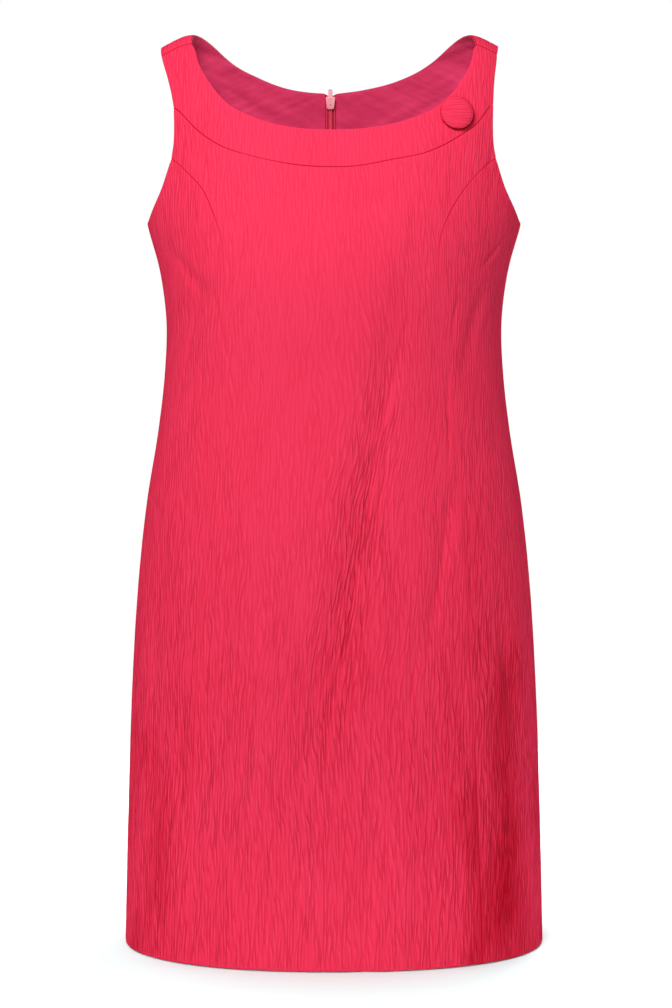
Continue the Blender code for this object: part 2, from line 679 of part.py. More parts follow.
def make_zip_tape(points, normals, word):
    """Narrow tape inside the centre-back edge."""
    inner = points[BACK_NECK_CELLS:TAPE_END_ROW + BACK_NECK_CELLS + 1, 0].copy()
    beyond = points[BACK_NECK_CELLS:TAPE_END_ROW + BACK_NECK_CELLS + 1, 1]
    facing = normals[BACK_NECK_CELLS:TAPE_END_ROW + BACK_NECK_CELLS + 1, :1]
    step = inner[1] - inner[0]
    inner[0] += step * TAPE_TOP_DROP / np.linalg.norm(step)
    away = beyond - inner
    away[0] = beyond[1] - inner[1]
    away /= np.linalg.norm(away, axis=1, keepdims=True)
    outer = inner + away * TAPE_WIDTH
    tape = np.stack([inner, outer], axis=1)
    out = -(CLOTH + SEAM_GAP)
    wall("zip_tape_" + word, tape, np.repeat(facing, 2, axis=1),
         out, out - TAPE_CLOTH, TAPE)


# ---------------------------------------------------------------- button
def make_button():
    """Domed covered button, turned on its own axis, on a short shank."""
    turn, reach = at_place(BUTTON_PLACE.across, BUTTON_PLACE.height, -1)
    seat = Vector(form(turn, reach))
    axis = Vector((math.sin(BUTTON_TILT_OUT), -math.cos(BUTTON_TILT_OUT), 0))
    axis = axis * math.cos(BUTTON_TILT_UP) + Vector((0, 0, math.sin(BUTTON_TILT_UP)))
    back = BUTTON_STANDOFF
    edge = BUTTON_EDGE
    profile = [(0.0, SEAM_GAP + 0.0004), (BUTTON_SHANK_RADIUS, SEAM_GAP + 0.0004),
               (BUTTON_SHANK_RADIUS, back)]
    for step in range(7):
        angle = math.pi * (step / 6 - 0.5)
        profile.append((BUTTON_RADIUS - edge / 2 + edge / 2 * math.cos(angle),
                        back + edge / 2 + edge / 2 * math.sin(angle)))
    for ring in range(1, BUTTON_DOME_RINGS + 1):
        angle = math.pi / 2 * ring / BUTTON_DOME_RINGS
        profile.append(((BUTTON_RADIUS - edge / 2) * math.cos(angle),
                        back + edge + BUTTON_DOME * math.sin(angle)))
    profile[-1] = (0.0, profile[-1][1])
    shape = bmesh.new()
    verts = [shape.verts.new((radius, 0, height)) for radius, height in profile]
    edges = [shape.edges.new(pair) for pair in zip(verts, verts[1:])]
    bmesh.ops.spin(shape, geom=verts + edges, axis=(0, 0, 1), cent=(0, 0, 0),
                   angle=math.tau, steps=BUTTON_SIDES, use_duplicate=False)
    bmesh.ops.remove_doubles(shape, verts=shape.verts, dist=0.00001)
    turned = axis.to_track_quat("Z", "Y").to_matrix().to_4x4()
    bmesh.ops.transform(shape, matrix=Matrix.Translation(seat) @ turned, verts=shape.verts)
    add_object("covered_button", shape, CRINKLE)


# ---------------------------------------------------------------- zip
def zip_frame():
    """Frame on the cloth at the zip's top: X across, Y down, Z out."""
    turn, reach = at_place(BACK_CENTRE, ZIP_NOTCH_HEIGHT, 1)
    top = Vector(form(turn, reach))
    below = Vector(form(*at_place(BACK_CENTRE, ZIP_NOTCH_HEIGHT - 0.030, 1)))
    down = (below - top).normalized()
    out = Vector((1, 0, 0)).cross(down).normalized()
    if out.y < 0:
        out = -out
    across = down.cross(out)
    turned = Matrix((across, down, out)).transposed().to_4x4()
    return Matrix.Translation(top) @ turned


def prism(outline, low, high):
    """Closed solid from an outline in X and Y, raised from low to high."""
    shape = bmesh.new()
    rings = [[shape.verts.new((x, y, z)) for x, y in outline] for z in (low, high)]
    for ring in rings:
        shape.faces.new(ring)
    count = len(outline)
    for i in range(count):
        k = (i + 1) % count
        shape.faces.new((rings[0][i], rings[0][k], rings[1][k], rings[1][i]))
    return shape


# Turns a prism drawn in down and out so that it is raised across the zip.
SIDEWAYS = Matrix(((0, 0, 1, 0), (1, 0, 0, 0), (0, 1, 0, 0), (0, 0, 0, 1)))


def block_outline(half_width, down):
    return [(-half_width, down[0]), (half_width, down[0]),
            (half_width, down[1]), (-half_width, down[1])]


def guide(name, shape, frame):
    """Hidden helper that a Boolean adds to a piece or cuts from it."""
    helper = add_object(name, shape, ENAMEL, smooth=False)
    helper.data.transform(frame)
    helper.hide_render = True
    helper.display_type = "WIRE"
    return helper


def combine(thing, helper, operation):
    boolean = thing.modifiers.new(helper.name, "BOOLEAN")
    boolean.operation = operation
    boolean.solver = "EXACT"
    boolean.object = helper


def make_zip_slider(frame):
    """Shield-shaped body inside, and a bridge over the neck edge."""
    top = BODY_TOP_WIDTH / 2
    end = BODY_END_WIDTH / 2
    start, stop = BODY_DOWN
    shoulder = 0.0012
    shield = [(-top + shoulder, start), (top - shoulder, start), (top, start + shoulder),
              (end, stop - shoulder), (end - shoulder, stop), (-end + shoulder, stop),
              (-end, stop - shoulder), (-top, start + shoulder)]
    body = add_object("zip_slider", prism(shield, *BODY_OUT), ENAMEL, smooth=False)
    body.data.transform(frame)
    sideways = frame @ SIDEWAYS
    back, crossing = BRIDGE_DOWN[0], BRIDGE_DOWN[0] + BRIDGE_THICK
    inner, outer = POST_OUT
    over = BRIDGE_OUT[0] + BRIDGE_SINK
    hook = [(start + BRIDGE_SINK, inner), (back, inner), (back, over),
            (crossing, over), (crossing, outer), (start + BRIDGE_SINK, outer)]
    half = POST_WIDTH / 2
    combine(body, guide("slider_hook", prism(hook, -half, half), sideways), "UNION")
    low, high = BRIDGE_OUT
    near, far = BRIDGE_DOWN[0] + BRIDGE_SINK / 2, BRIDGE_DOWN[1]
    corner = BRIDGE_THICK
    arch = [(near, low), (far, low), (far, high - corner), (far - corner, high),
            (near + corner, high), (near, high - corner)]
    half = BRIDGE_WIDTH / 2
    combine(body, guide("slider_arch", prism(arch, -half, half), sideways), "UNION")
    window = [(WINDOW_DOWN[0], WINDOW_OUT[0]), (WINDOW_DOWN[1], WINDOW_OUT[0]),
              (WINDOW_DOWN[1], WINDOW_OUT[1]), (WINDOW_DOWN[0], WINDOW_OUT[1])]
    cut = prism(window, -BRIDGE_WIDTH, BRIDGE_WIDTH)
    combine(body, guide("slider_window", cut, sideways), "DIFFERENCE")


def make_zip_pull(frame):
    """Flat tab whose top bar turns in the bridge's window."""
    top = PULL_TOP_WIDTH / 2
    end = PULL_END_WIDTH / 2
    round_start = PULL_LENGTH - end
    outline = [(-top, -PULL_BAR), (top, -PULL_BAR), (top, PULL_SLOT_END + 0.002)]
    for step in range(9):
        angle = math.pi * step / 8
        outline.append((end * math.cos(angle), round_start + end * math.sin(angle)))
    outline.append((-top, PULL_SLOT_END + 0.002))
    hinge = frame @ Matrix.Translation((0, HINGE_DOWN, HINGE_OUT))
    lean = Matrix.Rotation(-PULL_LEAN, 4, "X")
    half = PULL_THICK / 2
    pull = add_object("zip_pull", prism(outline, -half, half), ENAMEL, smooth=False)
    pull.data.transform(lean)
    pull.matrix_world = hinge
    slot = block_outline(PULL_SLOT_WIDTH / 2, (PULL_BAR, PULL_SLOT_END))
    cutter = guide("pull_slot", prism(slot, -PULL_THICK, PULL_THICK), lean)
    cutter.matrix_world = hinge
    combine(pull, cutter, "DIFFERENCE")


def main():
    for thing in list(bpy.data.objects):
        bpy.data.objects.remove(thing, do_unlink=True)
    make_front_yoke()
    make_centre_front()
    make_side_fronts()
    make_back(-1, "right")
    make_back(1, "left")
    make_button()
    frame = zip_frame()
    make_zip_slider(frame)
    make_zip_pull(frame)


main()
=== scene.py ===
"""Look of the sleeveless sheath dress: crinkled cloth panels, smooth neck
facing, concealed zip and covered button, on the form of the solid model.

The panels repeat the solid model's form.  A point of the garment is told
by two numbers:
  turn   the angle round the body in degrees, 0 at the middle, 90 at the
         side seam of the wearer's left, -90 at that of the right
  reach  the square root of the drop below the shoulder ridge, negative on
         the front and positive on the back
"""

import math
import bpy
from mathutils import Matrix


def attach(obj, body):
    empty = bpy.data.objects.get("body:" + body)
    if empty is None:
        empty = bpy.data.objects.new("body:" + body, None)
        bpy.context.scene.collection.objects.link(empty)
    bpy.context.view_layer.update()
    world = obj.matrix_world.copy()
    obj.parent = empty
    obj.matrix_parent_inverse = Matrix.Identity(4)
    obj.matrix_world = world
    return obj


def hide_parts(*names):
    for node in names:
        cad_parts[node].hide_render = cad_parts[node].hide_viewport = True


bl_info = {
    "name": "Sheath Dress",
    "version": (1, 0, 0),
    "blender": (4, 5, 0),
    "location": "3D View > Sidebar > Dress",
    "description": "Crinkled sheath dress, filled out as worn, over its solid model",
    "category": "Object",
}

from collections import namedtuple

import bpy
import numpy as np
from bpy.props import FloatProperty, FloatVectorProperty, PointerProperty
from bpy.types import Operator, Panel, PropertyGroup
from mathutils import Matrix, Vector

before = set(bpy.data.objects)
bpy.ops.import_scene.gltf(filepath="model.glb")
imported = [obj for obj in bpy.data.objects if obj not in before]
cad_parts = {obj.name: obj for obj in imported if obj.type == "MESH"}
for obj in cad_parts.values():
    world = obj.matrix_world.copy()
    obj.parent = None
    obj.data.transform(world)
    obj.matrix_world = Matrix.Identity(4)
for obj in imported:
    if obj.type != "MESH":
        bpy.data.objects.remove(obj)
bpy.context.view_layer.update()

# ---------------------------------------------------------------- sizes
# Heights are measured from the shoulder tops, so they are negative.  Where a
# pair has -1 and 1, those are the wearer's right and left.
LENGTH = 0.905
UNDERARM_HEIGHT = -0.188
BACK_CENTRE = -0.0036
SHOULDER_SLOPE = 0.55
SHOULDER_START = {-1: 0.1470, 1: 0.1410}
SHOULDER_ROUND = 0.008
SHOULDER_SEAM = -0.104      # its reach, a little in front of the ridge
SHOULDER_FADE = (0.06, 0.22)                # drops over which the slope fades
FRONT_SQUARE = 2.25         # how square the form is, seen from above
BACK_SQUARE = 2.4


def listed(kind, *table):
    """A table's plain rows, each as one of its kind."""
    return [kind(*row) for row in table]


# Half width and depths of the form at each drop below the shoulder ridge.
Level = namedtuple("Level", "drop half_width front back")
LEVELS = listed(
    Level,
    (0.000, 0.240, 0.0000, 0.0000),
    (0.010, 0.234, 0.0230, 0.0228),
    (0.020, 0.229, 0.0330, 0.0324),
    (0.040, 0.219, 0.0480, 0.0455),
    (0.070, 0.206, 0.0670, 0.0615),
    (0.100, 0.197, 0.0840, 0.0745),
    (0.140, 0.1905, 0.1030, 0.0890),
    (0.188, 0.1845, 0.1190, 0.0995),
    (0.238, 0.1720, 0.1255, 0.1020),
    (0.287, 0.1665, 0.1220, 0.0955),
    (0.337, 0.1686, 0.1155, 0.0880),
    (0.400, 0.1764, 0.1130, 0.0925),
    (0.461, 0.1866, 0.1165, 0.1040),
    (0.540, 0.1955, 0.1215, 0.1140),
    (0.640, 0.2021, 0.1275, 0.1205),
    (0.763, 0.2067, 0.1335, 0.1260),
    (0.905, 0.2106, 0.1400, 0.1310),
)

# Points of the neck edge and of the yoke seam.
Place = namedtuple("Place", "across height")
FRONT_NECK = listed(
    Place,
    (-0.1398, -0.0045), (-0.1376, -0.0153), (-0.1318, -0.0335),
    (-0.1200, -0.0540), (-0.1042, -0.0730), (-0.0807, -0.0868),
    (-0.0555, -0.0955), (-0.0300, -0.0998), (0.0000, -0.1010),
    (0.0346, -0.0989), (0.0731, -0.0897), (0.1023, -0.0753),
    (0.1223, -0.0536), (0.1337, -0.0318), (0.1390, -0.0140),
    (0.1400, -0.0045),
)
YOKE_SEAM = listed(
    Place,
    (-0.1349, -0.0976), (-0.1239, -0.1068), (-0.1096, -0.1160),
    (-0.0801, -0.1263), (-0.0551, -0.1324), (-0.0303, -0.1365),
    (-0.0037, -0.1380), (0.0191, -0.1372), (0.0563, -0.1305),
    (0.0909, -0.1223), (0.1104, -0.1130), (0.1261, -0.1028),
    (0.1370, -0.0950),
)
BACK_NECK = {
    -1: listed(Place, (-0.1207, -0.0093), (-0.1014, -0.0254), (-0.0756, -0.0384),
               (-0.0496, -0.0477), (-0.0233, -0.0519), (-0.0102, -0.0527)),
    1: listed(Place, (0.1139, -0.0110), (0.1013, -0.0218), (0.0875, -0.0309),
              (0.0666, -0.0402), (0.0293, -0.0495), (0.0030, -0.0529)),
}
NECK_AT_RIDGE = {-1: -0.1378, 1: 0.1332}
ZIP_NOTCH_HEIGHT = -0.0559

# Distances of an edge or seam from the middle, on each side.
Edge = namedtuple("Edge", "height right left")
FRONT_ARMHOLE = listed(
    Edge,
    (-0.0388, 0.1652, 0.1582),
    (-0.0550, 0.1605, 0.1563),
    (-0.0740, 0.1563, 0.1551),
    (-0.0950, 0.1553, 0.1545),
    (-0.1120, 0.1556, 0.1549),
    (-0.1265, 0.1574, 0.1570),
    (-0.1420, 0.1626, 0.1617),
    (-0.1575, 0.1684, 0.1675),
    (-0.1720, 0.1757, 0.1752),
    (-0.1830, 0.1814, 0.1810),
)
BACK_ARMHOLE = listed(
    Edge,
    (-0.0300, 0.1680, 0.1592),
    (-0.0500, 0.1640, 0.1580),
    (-0.0800, 0.1602, 0.1575),
    (-0.1050, 0.1595, 0.1580),
    (-0.1300, 0.1612, 0.1603),
    (-0.1500, 0.1655, 0.1650),
    (-0.1680, 0.1722, 0.1720),
    (-0.1810, 0.1795, 0.1795),
)
ARMHOLE_AT_SEAM = {-1: -0.1697, 1: 0.1603}
ARMHOLE_AT_RIDGE = {-1: -0.1715, 1: 0.1630}
YOKE_END_HEIGHT = {-1: -0.0768, 1: -0.0722}
PRINCESS_START_HEIGHT = {-1: -0.1270, 1: -0.1262}
PRINCESS_SEAM = listed(
    Edge,
    (-0.1416, 0.1410, 0.1392),
    (-0.1590, 0.1256, 0.1245),
    (-0.1790, 0.1165, 0.1118),
    (-0.2040, 0.1080, 0.1020),
    (-0.2400, 0.1050, 0.1000),
    (-0.3000, 0.1085, 0.1055),
    (-0.3600, 0.1140, 0.1140),
    (-0.4560, 0.1212, 0.1225),
    (-0.5520, 0.1285, 0.1275),
    (-0.6900, 0.1355, 0.1358),
    (-0.8000, 0.1385, 0.1405),
)
PRINCESS_AT_HEM = {-1: 0.1400, 1: 0.1440}

# The solid model's folds, then finer creases that only show close by.
# Angles run round the body from the front, positive to the wearer's left
# and 180 at the centre back.  A negative depth is a ridge.
Fold = namedtuple("Fold", "angle_1 height_1 angle_2 height_2 angle_3 height_3"
                          " half_width depth")
FOLDS = listed(
    Fold,
    (25, -0.23, 8, -0.45, -5, -0.70, 0.020, 0.0040),
    (38, -0.44, 32, -0.52, 25, -0.63, 0.010, 0.0030),
    (11, -0.71, 13, -0.77, 12, -0.83, 0.012, 0.0022),
    (7, -0.80, 7, -0.86, 8, -0.93, 0.012, 0.0022),
    (-39, -0.57, -30, -0.63, -11, -0.655, 0.011, 0.0026),
    (-44, -0.70, -34, -0.73, -22, -0.74, 0.011, 0.0022),
    (-43, -0.25, -55, -0.27, -69, -0.305, 0.011, 0.0028),
    (-63, -0.22, -54, -0.24, -45, -0.265, 0.010, 0.0022),
    (60, -0.25, 52, -0.29, 48, -0.34, 0.011, 0.0024),
    (1, -0.185, 10, -0.17, 21, -0.160, 0.013, 0.0016),
    (54, -0.55, 58, -0.62, 62, -0.70, 0.014, 0.0034),
    (39, -0.46, 40, -0.53, 41, -0.61, 0.009, -0.0016),
    (-60, -0.50, -63, -0.62, -60, -0.76, 0.018, 0.0026),
    (-128, -0.26, -146, -0.29, -163, -0.335, 0.015, 0.0032),
    (126, -0.28, 145, -0.30, 166, -0.350, 0.014, 0.0028),
    (-150, -0.45, -164, -0.62, -157, -0.82, 0.020, 0.0036),
    (155, -0.50, 147, -0.66, 150, -0.86, 0.019, 0.0032),
    (124, -0.58, 117, -0.72, 119, -0.89, 0.020, 0.0034),
    (-122, -0.53, -113, -0.70, -116, -0.90, 0.020, 0.0034),
    (98, -0.33, 104, -0.42, 101, -0.52, 0.016, 0.0028),
    (-97, -0.31, -103, -0.40, -99, -0.50, 0.016, 0.0028),
    (-140, -0.13, -150, -0.17, -166, -0.19, 0.014, 0.0020),
    (143, -0.14, 153, -0.17, 164, -0.20, 0.014, 0.0020),
)
CREASES = listed(
    Fold,
    (37, -0.445, 34.5, -0.51, 26, -0.60, 0.0035, 0.0010),
    (46, -0.26, 43, -0.28, 43, -0.31, 0.0030, 0.0012),
    (41, -0.33, 39, -0.37, 39, -0.40, 0.0030, 0.0012),
    (40, -0.37, 39, -0.40, 38, -0.43, 0.0030, 0.0010),
    (66, -0.205, 60, -0.22, 55, -0.235, 0.0035, 0.0014),
    (53, -0.115, 51, -0.13, 50, -0.145, 0.0030, 0.0010),
    (43, -0.52, 42, -0.54, 42, -0.57, 0.0030, 0.0012),
    (57, -0.56, 58, -0.58, 57, -0.61, 0.0030, 0.0012),
    (-43, -0.255, -41, -0.29, -38, -0.325, 0.0028, 0.0012),
    (-52, -0.275, -60, -0.31, -62, -0.375, 0.0045, 0.0014),
    (-50, -0.315, -49, -0.34, -49, -0.365, 0.0030, 0.0010),
    (24, -0.29, 20.5, -0.33, 18, -0.37, 0.0024, 0.0006),
    (21, -0.315, 17.5, -0.36, 15.5, -0.4, 0.0024, 0.0007),
    (17, -0.35, 14.5, -0.385, 12, -0.43, 0.0024, 0.0006),
    (18.5, -0.39, 15, -0.43, 12.5, -0.475, 0.0024, 0.0008),
    (13.5, -0.4, 10.5, -0.44, 8, -0.49, 0.0024, 0.0009),
    (15, -0.44, 11.5, -0.49, 9, -0.535, 0.0024, 0.0009),
    (9.5, -0.46, 7.5, -0.5, 5.5, -0.545, 0.0024, 0.0011),
    (12, -0.5, 9.5, -0.54, 8, -0.59, 0.0024, 0.0010),
    (7, -0.51, 5, -0.55, 3.5, -0.595, 0.0024, 0.0011),
    (9.5, -0.55, 7.5, -0.595, 5.5, -0.635, 0.0024, 0.0009),
    (4.5, -0.56, 3, -0.6, 1, -0.645, 0.0024, 0.0011),
    (7, -0.6, 5, -0.64, 2.5, -0.68, 0.0024, 0.0009),
    (1.5, -0.61, 0, -0.65, -2.5, -0.69, 0.0024, 0.0011),
    (4, -0.65, 1.5, -0.69, -1.5, -0.73, 0.0024, 0.0008),
    (-1, -0.66, -3, -0.7, -5.5, -0.745, 0.0024, 0.0008),
    (24, -0.60, 22, -0.63, 20, -0.66, 0.0035, 0.0010),
    (-170, -0.24, -168, -0.29, -171, -0.35, 0.0040, 0.0012),
    (-158, -0.52, -163, -0.60, -161, -0.68, 0.0045, 0.0014),
    (152, -0.56, 149, -0.63, 151, -0.70, 0.0045, 0.0014),
    (122, -0.24, 126, -0.29, 124, -0.34, 0.0040, 0.0012),
    (-118, -0.62, -114, -0.70, -116, -0.78, 0.0045, 0.0013),
    (120, -0.66, 117, -0.74, 119, -0.82, 0.0045, 0.0013),
)
FOLD_ARM = 0.185            # turns an angle round the body into a length
FOLD_STEPS = 8              # straight steps that a fold's path is measured in
FOLD_SPREAD = 0.09          # how far above and below its path a fold acts

# Cells of the solid model's panels, each cut finer here.
YOKE_MIDDLE_CELLS = 24
YOKE_STRAP_CELLS = 4
STRAP_ACROSS_CELLS = 5
ARMHOLE_UPPER_CELLS = 2
ARMHOLE_LOWER_CELLS = 6
SIDE_SEAM_CELLS = 29
SIDE_SEAM_CROWD = 1.15
SIDE_ACROSS_CELLS = 10
BACK_ACROSS_CELLS = 15
BACK_ARMHOLE_CELLS = 14
BACK_NECK_CELLS = 9
CENTRE_BACK_SPLIT = -0.262  # height where its upper stretch ends
SIDE_TOP_WIDTH = 0.004
FACING_ACROSS_CELLS = 11
FACING_DOWN_CELLS = 2

# The neck facings.
FACING_CUTS = 8             # finer rows and columns in each cell
FACING_ZIP_CLEARANCE = 0.0058
FACING_PUSH_RUN = 0.03      # how far across it that clearance fades
FACING_SEWN_WIDTH = 0.004   # where it closes up with the panel at the neck
FACING_SEWN_SHARE = 0.95
FACING_STRAP = (0.07, 0.06)                 # how far across the streaks strengthen
FACING_STREAKS, FACING_FINE = 0.35, 0.35    # broad streaks off the straps, and fine ones: a slight swell and painted shade
FACING_SWELL = 0.00045
# How far down the facing the painted light near the neck edge fades.
FACING_LIGHT_RUN = 0.030

# The zip's tapes, finely ribbed along their length and with one raised cord.
TAPE_CUTS = 6
TAPE_WIDTH = 0.0052
TAPE_SETBACK = 0.00015
TAPE_END_ROW = 13
TAPE_TOP_DROP = 0.005
TAPE_ROWS = 120
TAPE_COLUMNS = 27
RIB_HEIGHT = 0.00006
RIB_PITCH = 0.00065
CORD_PLACE = 0.0043
CORD_WIDTH = 0.00045
CORD_HEIGHT = 0.00032

# One turn of the zip's coil and where the coil lies on its tape.
COIL_RADIUS = 0.00082
COIL_THREAD = 0.00030
COIL_FLATTEN = 0.62
COIL_ACROSS = 0.00062
COIL_INSIDE = 0.00072
COIL_TOP_DROP = 0.0060
COIL_END_GAP = 0.004

# The covered button, on the yoke at the wearer's left.
BUTTON_RADIUS = 0.0160
BUTTON_PLACE = Place(0.1176, -0.0858)
BUTTON_SHADE = Place(0.1192, -0.0838)       # middle of the ring of painted shadow round it on the yoke
BUTTON_TILT_UP = math.radians(15)
BUTTON_TILT_OUT = math.radians(11)
BUTTON_STANDOFF = 0.0046
SHANK_RADIUS = 0.0040
SHANK_START = 0.0008
BUTTON_BACK_RADIUS = 0.0125
BUTTON_EDGE = 0.0030
BUTTON_EDGE_STEPS = 6
BUTTON_DOME = 0.0028
BUTTON_DOME_STEPS = 9
BUTTON_CRINKLE = 0.00010    # height of its cover's crinkles
BUTTON_BOLD = 0.42
BUTTON_FINER = 0.55         # its crinkles' share of the typical pitch

# The slider's face, its sunk marks by how far up they are, and its edges.
SLIDER_FOOT = Vector((-0.0037, 0.05414, -0.06842))
SLIDER_ALONG = Vector((0, 0.429, -0.903))
SLIDER_MARK_WIDTH = 0.0009  # radius of the hole, width of the groove
SLIDER_HOLE_UP = 0.0042
SLIDER_HOLE_DEEP = 0.0018
SLIDER_GROOVE_UP = 0.0088
SLIDER_GROOVE_DEEP = 0.0008
SLIDER_GROOVE_LONG = 0.0042
SLIDER_ROUNDING = 0.00035
PULL_ROUNDING = 0.00020
FLAT_ANGLE = math.radians(2)                # faces within it become one
ROUND_ANGLE = math.radians(35)              # edges past it are rounded
SMOOTH_ANGLE = math.radians(40)

# How fine the panels are.
DOWN_CUTS = 7               # finer rows in each of the solid's cells
ACROSS_CUTS = 12            # finer columns in a cell of the yoke or middle front
SIDE_CUTS = 16              # in a cell of a side front
BACK_CUTS = 16              # and in one of a back
YOKE_DOWN_CUTS = 8
EDGE_SHARES = (0.12, 0.26, 0.45, 0.70)      # extra rows next to each edge
INNER_SKIP_DOWN = 3         # the plain inner side keeps every third row
INNER_SKIP_ACROSS = 4       # and every fourth column
BENT_CELLS = 4              # but every row in the cells over a shoulder's bend
SHARP_ANGLE = math.radians(62)              # rims past it keep a crisp edge

# Flat cut of each panel: width and length of the rectangle round it.
Cut = namedtuple("Cut", "width length")

# The camera stands in front of the dress and tilts down, in degrees.
Camera = namedtuple("Camera", "across distance height tilt lens sensor")
VIEW = Camera(0.002, 2.4, -0.31208, 3.6714, 85.714, 36.0)
FLOOR_HEIGHT = -0.9062
FLOOR_ACROSS = (-1.6, 1.6)
FLOOR_DEPTH = (-0.4, 1.2)

# Where each lamp stands, what it points at, and how wide and high it is.
Lamp = namedtuple("Lamp", "place aim size")
KEY_LAMP = Lamp((-0.5, -1.9, 0.95), (0, 0, 0.5), (0.9, 0.9))
FLOOR_LAMP = Lamp((0, 0.7, 2.0), (0, 0.7, -0.9), (3.2, 2.0))
FILL_LAMP = Lamp((1.9, -2.4, 0.2), (0, 0, -0.45), (1.4, 2.0))
REAR_LAMP = Lamp((0.9, 2.4, 0.7), (0, 0, -0.4), (1.2, 1.2))
NECK_LAMP = Lamp((0, -2.0, 0.10), (0, 0.06, -0.04), None)
NECK_LAMP_ANGLE = math.radians(14)
NECK_LAMP_SOFTNESS = 0.12

SETTLE_ROUNDS = 30          # rounds in which a drop and its slope agree
STRAIGHT_STEPS = 200        # points that a straight edge is measured in
CURVE_STEPS = 400           # and a curved one
ROW_CLEARANCE = 0.004       # table rows nearer than this to an end are left out


# ---------------------------------------------------------------- form
def unit(vectors):
    """The same directions, one long each."""
    return vectors / np.linalg.norm(vectors, axis=-1, keepdims=True)


def rise(value, start, width):
    """0 up to the start, 1 past the width beyond it, and even between."""
    return np.clip((value - start) / width, 0, 1)


def run_along(points):
    """Length along rows of points, from the first row."""
    steps = np.linalg.norm(np.diff(points, axis=0), axis=-1)
    return np.concatenate([np.zeros_like(steps[:1]), np.cumsum(steps, axis=0)])


def between(columns, places, at):
    """Smooth curve through a table, whose columns stand at places."""
    at = np.clip(at, places[0], places[-1])
    low = np.clip(np.searchsorted(places, at, side="right") - 1, 0, len(places) - 2)
    slope = np.gradient(columns, places)
    step = places[low + 1] - places[low]
    s = (at - places[low]) / step
    return ((2 * s**3 - 3 * s**2 + 1) * columns[low]
            + (s**3 - 2 * s**2 + s) * step * slope[low]
            + (3 * s**2 - 2 * s**3) * columns[low + 1]
            + (s**3 - s**2) * step * slope[low + 1])


LEVEL_REACH = np.sqrt([level.drop for level in LEVELS])
LEVEL_WIDTH = np.array([level.half_width for level in LEVELS])
LEVEL_FRONT = np.array([level.front for level in LEVELS])
LEVEL_BACK = np.array([level.back for level in LEVELS])


def shoulder_ridge(across):
    """Height of the shoulder ridge, 0 at the neck and falling outwards."""
    start = np.where(across < 0, SHOULDER_START[-1], SHOULDER_START[1])
    past = np.abs(across) - start
    return -SHOULDER_SLOPE * (past + np.sqrt(past**2 + SHOULDER_ROUND**2)) / 2


def slope_share(drop):
    """How much of the shoulder's slope is left at this drop."""
    start, end = SHOULDER_FADE
    s = rise(drop, start, end - start)
    return 1 - s * s * (3 - 2 * s)


def form(turn, reach):
    """Points of the smooth form.  A turn past 90 goes on round the side."""
    turn = np.asarray(turn, float)
    reach = np.asarray(reach, float)
    sine = np.sin(np.radians(turn))
    cosine = np.cos(np.radians(turn))
    side = np.where(cosine < -1e-9, -1.0, 1.0) * np.where(reach < 0, -1.0, 1.0)
    depth = np.where(side < 0, between(LEVEL_FRONT, LEVEL_REACH, np.abs(reach)),
                     between(LEVEL_BACK, LEVEL_REACH, np.abs(reach)))
    square = np.where(side < 0, FRONT_SQUARE, BACK_SQUARE)
    share = np.clip(1 - np.abs(sine)**square, 0, 1)**(1 / square)
    across = between(LEVEL_WIDTH, LEVEL_REACH, np.abs(reach)) * sine
    drop = reach**2
    height = shoulder_ridge(across) * slope_share(drop) - drop
    return np.stack([across, side * depth * share, height], axis=-1)


def outward(turn, reach):
    """Unit normals of the smooth form, pointing away from the body."""
    turn_step = 0.2
    reach_step = 0.0005
    round_body = form(turn + turn_step, reach) - form(turn - turn_step, reach)
    down_body = form(turn, reach + reach_step) - form(turn, reach - reach_step)
    return unit(np.cross(round_body, down_body))


def body_angle(turn, reach):
    """Angle round the body from the front, 180 at the centre back."""
    return np.where(reach < 0, turn, np.where(turn < 0, -180 - turn, 180 - turn))


def fold_relief(turn, reach, folds):
    """How far the folds move the cloth outwards."""
    height = form(turn, reach)[..., 2]
    angle = body_angle(turn, reach)
    relief = np.zeros(np.shape(height))
    s = np.linspace(0, 1, FOLD_STEPS + 1)
    for fold in folds:
        path_angle = ((1 - s)**2 * fold.angle_1 + s**2 * fold.angle_3
                      + 2 * s * (1 - s) * fold.angle_2)
        path_height = ((1 - s)**2 * fold.height_1 + s**2 * fold.height_3
                       + 2 * s * (1 - s) * fold.height_2)
        low = path_height.min() - FOLD_SPREAD
        high = path_height.max() + FOLD_SPREAD
        near = (height > low) & (height < high)
        if not near.any():
            continue
        across = np.radians(angle[near]) * FOLD_ARM
        up = height[near]
        path = np.radians(path_angle) * FOLD_ARM
        nearest = np.full(up.shape, np.inf)
        at = np.zeros(up.shape)
        for k in range(FOLD_STEPS):
            run = path[k + 1] - path[k]
            rise = path_height[k + 1] - path_height[k]
            share = (across - path[k]) * run + (up - path_height[k]) * rise
            share = np.clip(share / (run * run + rise * rise), 0, 1)
            away = np.hypot(across - path[k] - run * share,
                            up - path_height[k] - rise * share)
            closer = away < nearest
            at = np.where(closer, (k + share) / FOLD_STEPS, at)
            nearest = np.where(closer, away, nearest)
        wide = nearest / fold.half_width
        ends = np.sin(np.pi * np.clip(at, 0.03, 0.97))**0.6
        relief[near] -= fold.depth * ends * (1 - 0.35 * wide**2) * np.exp(-wide**2 * 0.9)
    return relief


def at_place(across, height, side):
    """Turn and reach of a point given by its place on the front or back."""
    drop = -height
    for _ in range(SETTLE_ROUNDS):
        drop = max(float(shoulder_ridge(across) * slope_share(drop)) - height, 0.0)
    reach = side * math.sqrt(drop)
    width = float(between(LEVEL_WIDTH, LEVEL_REACH, abs(reach)))
    return (math.degrees(math.asin(max(-1.0, min(1.0, across / width)))), reach)


def at_reach(across, reach):
    """Turn and reach of a point of a strap, given by its reach."""
    width = float(between(LEVEL_WIDTH, LEVEL_REACH, abs(reach)))
    return (math.degrees(math.asin(across / width)), reach)


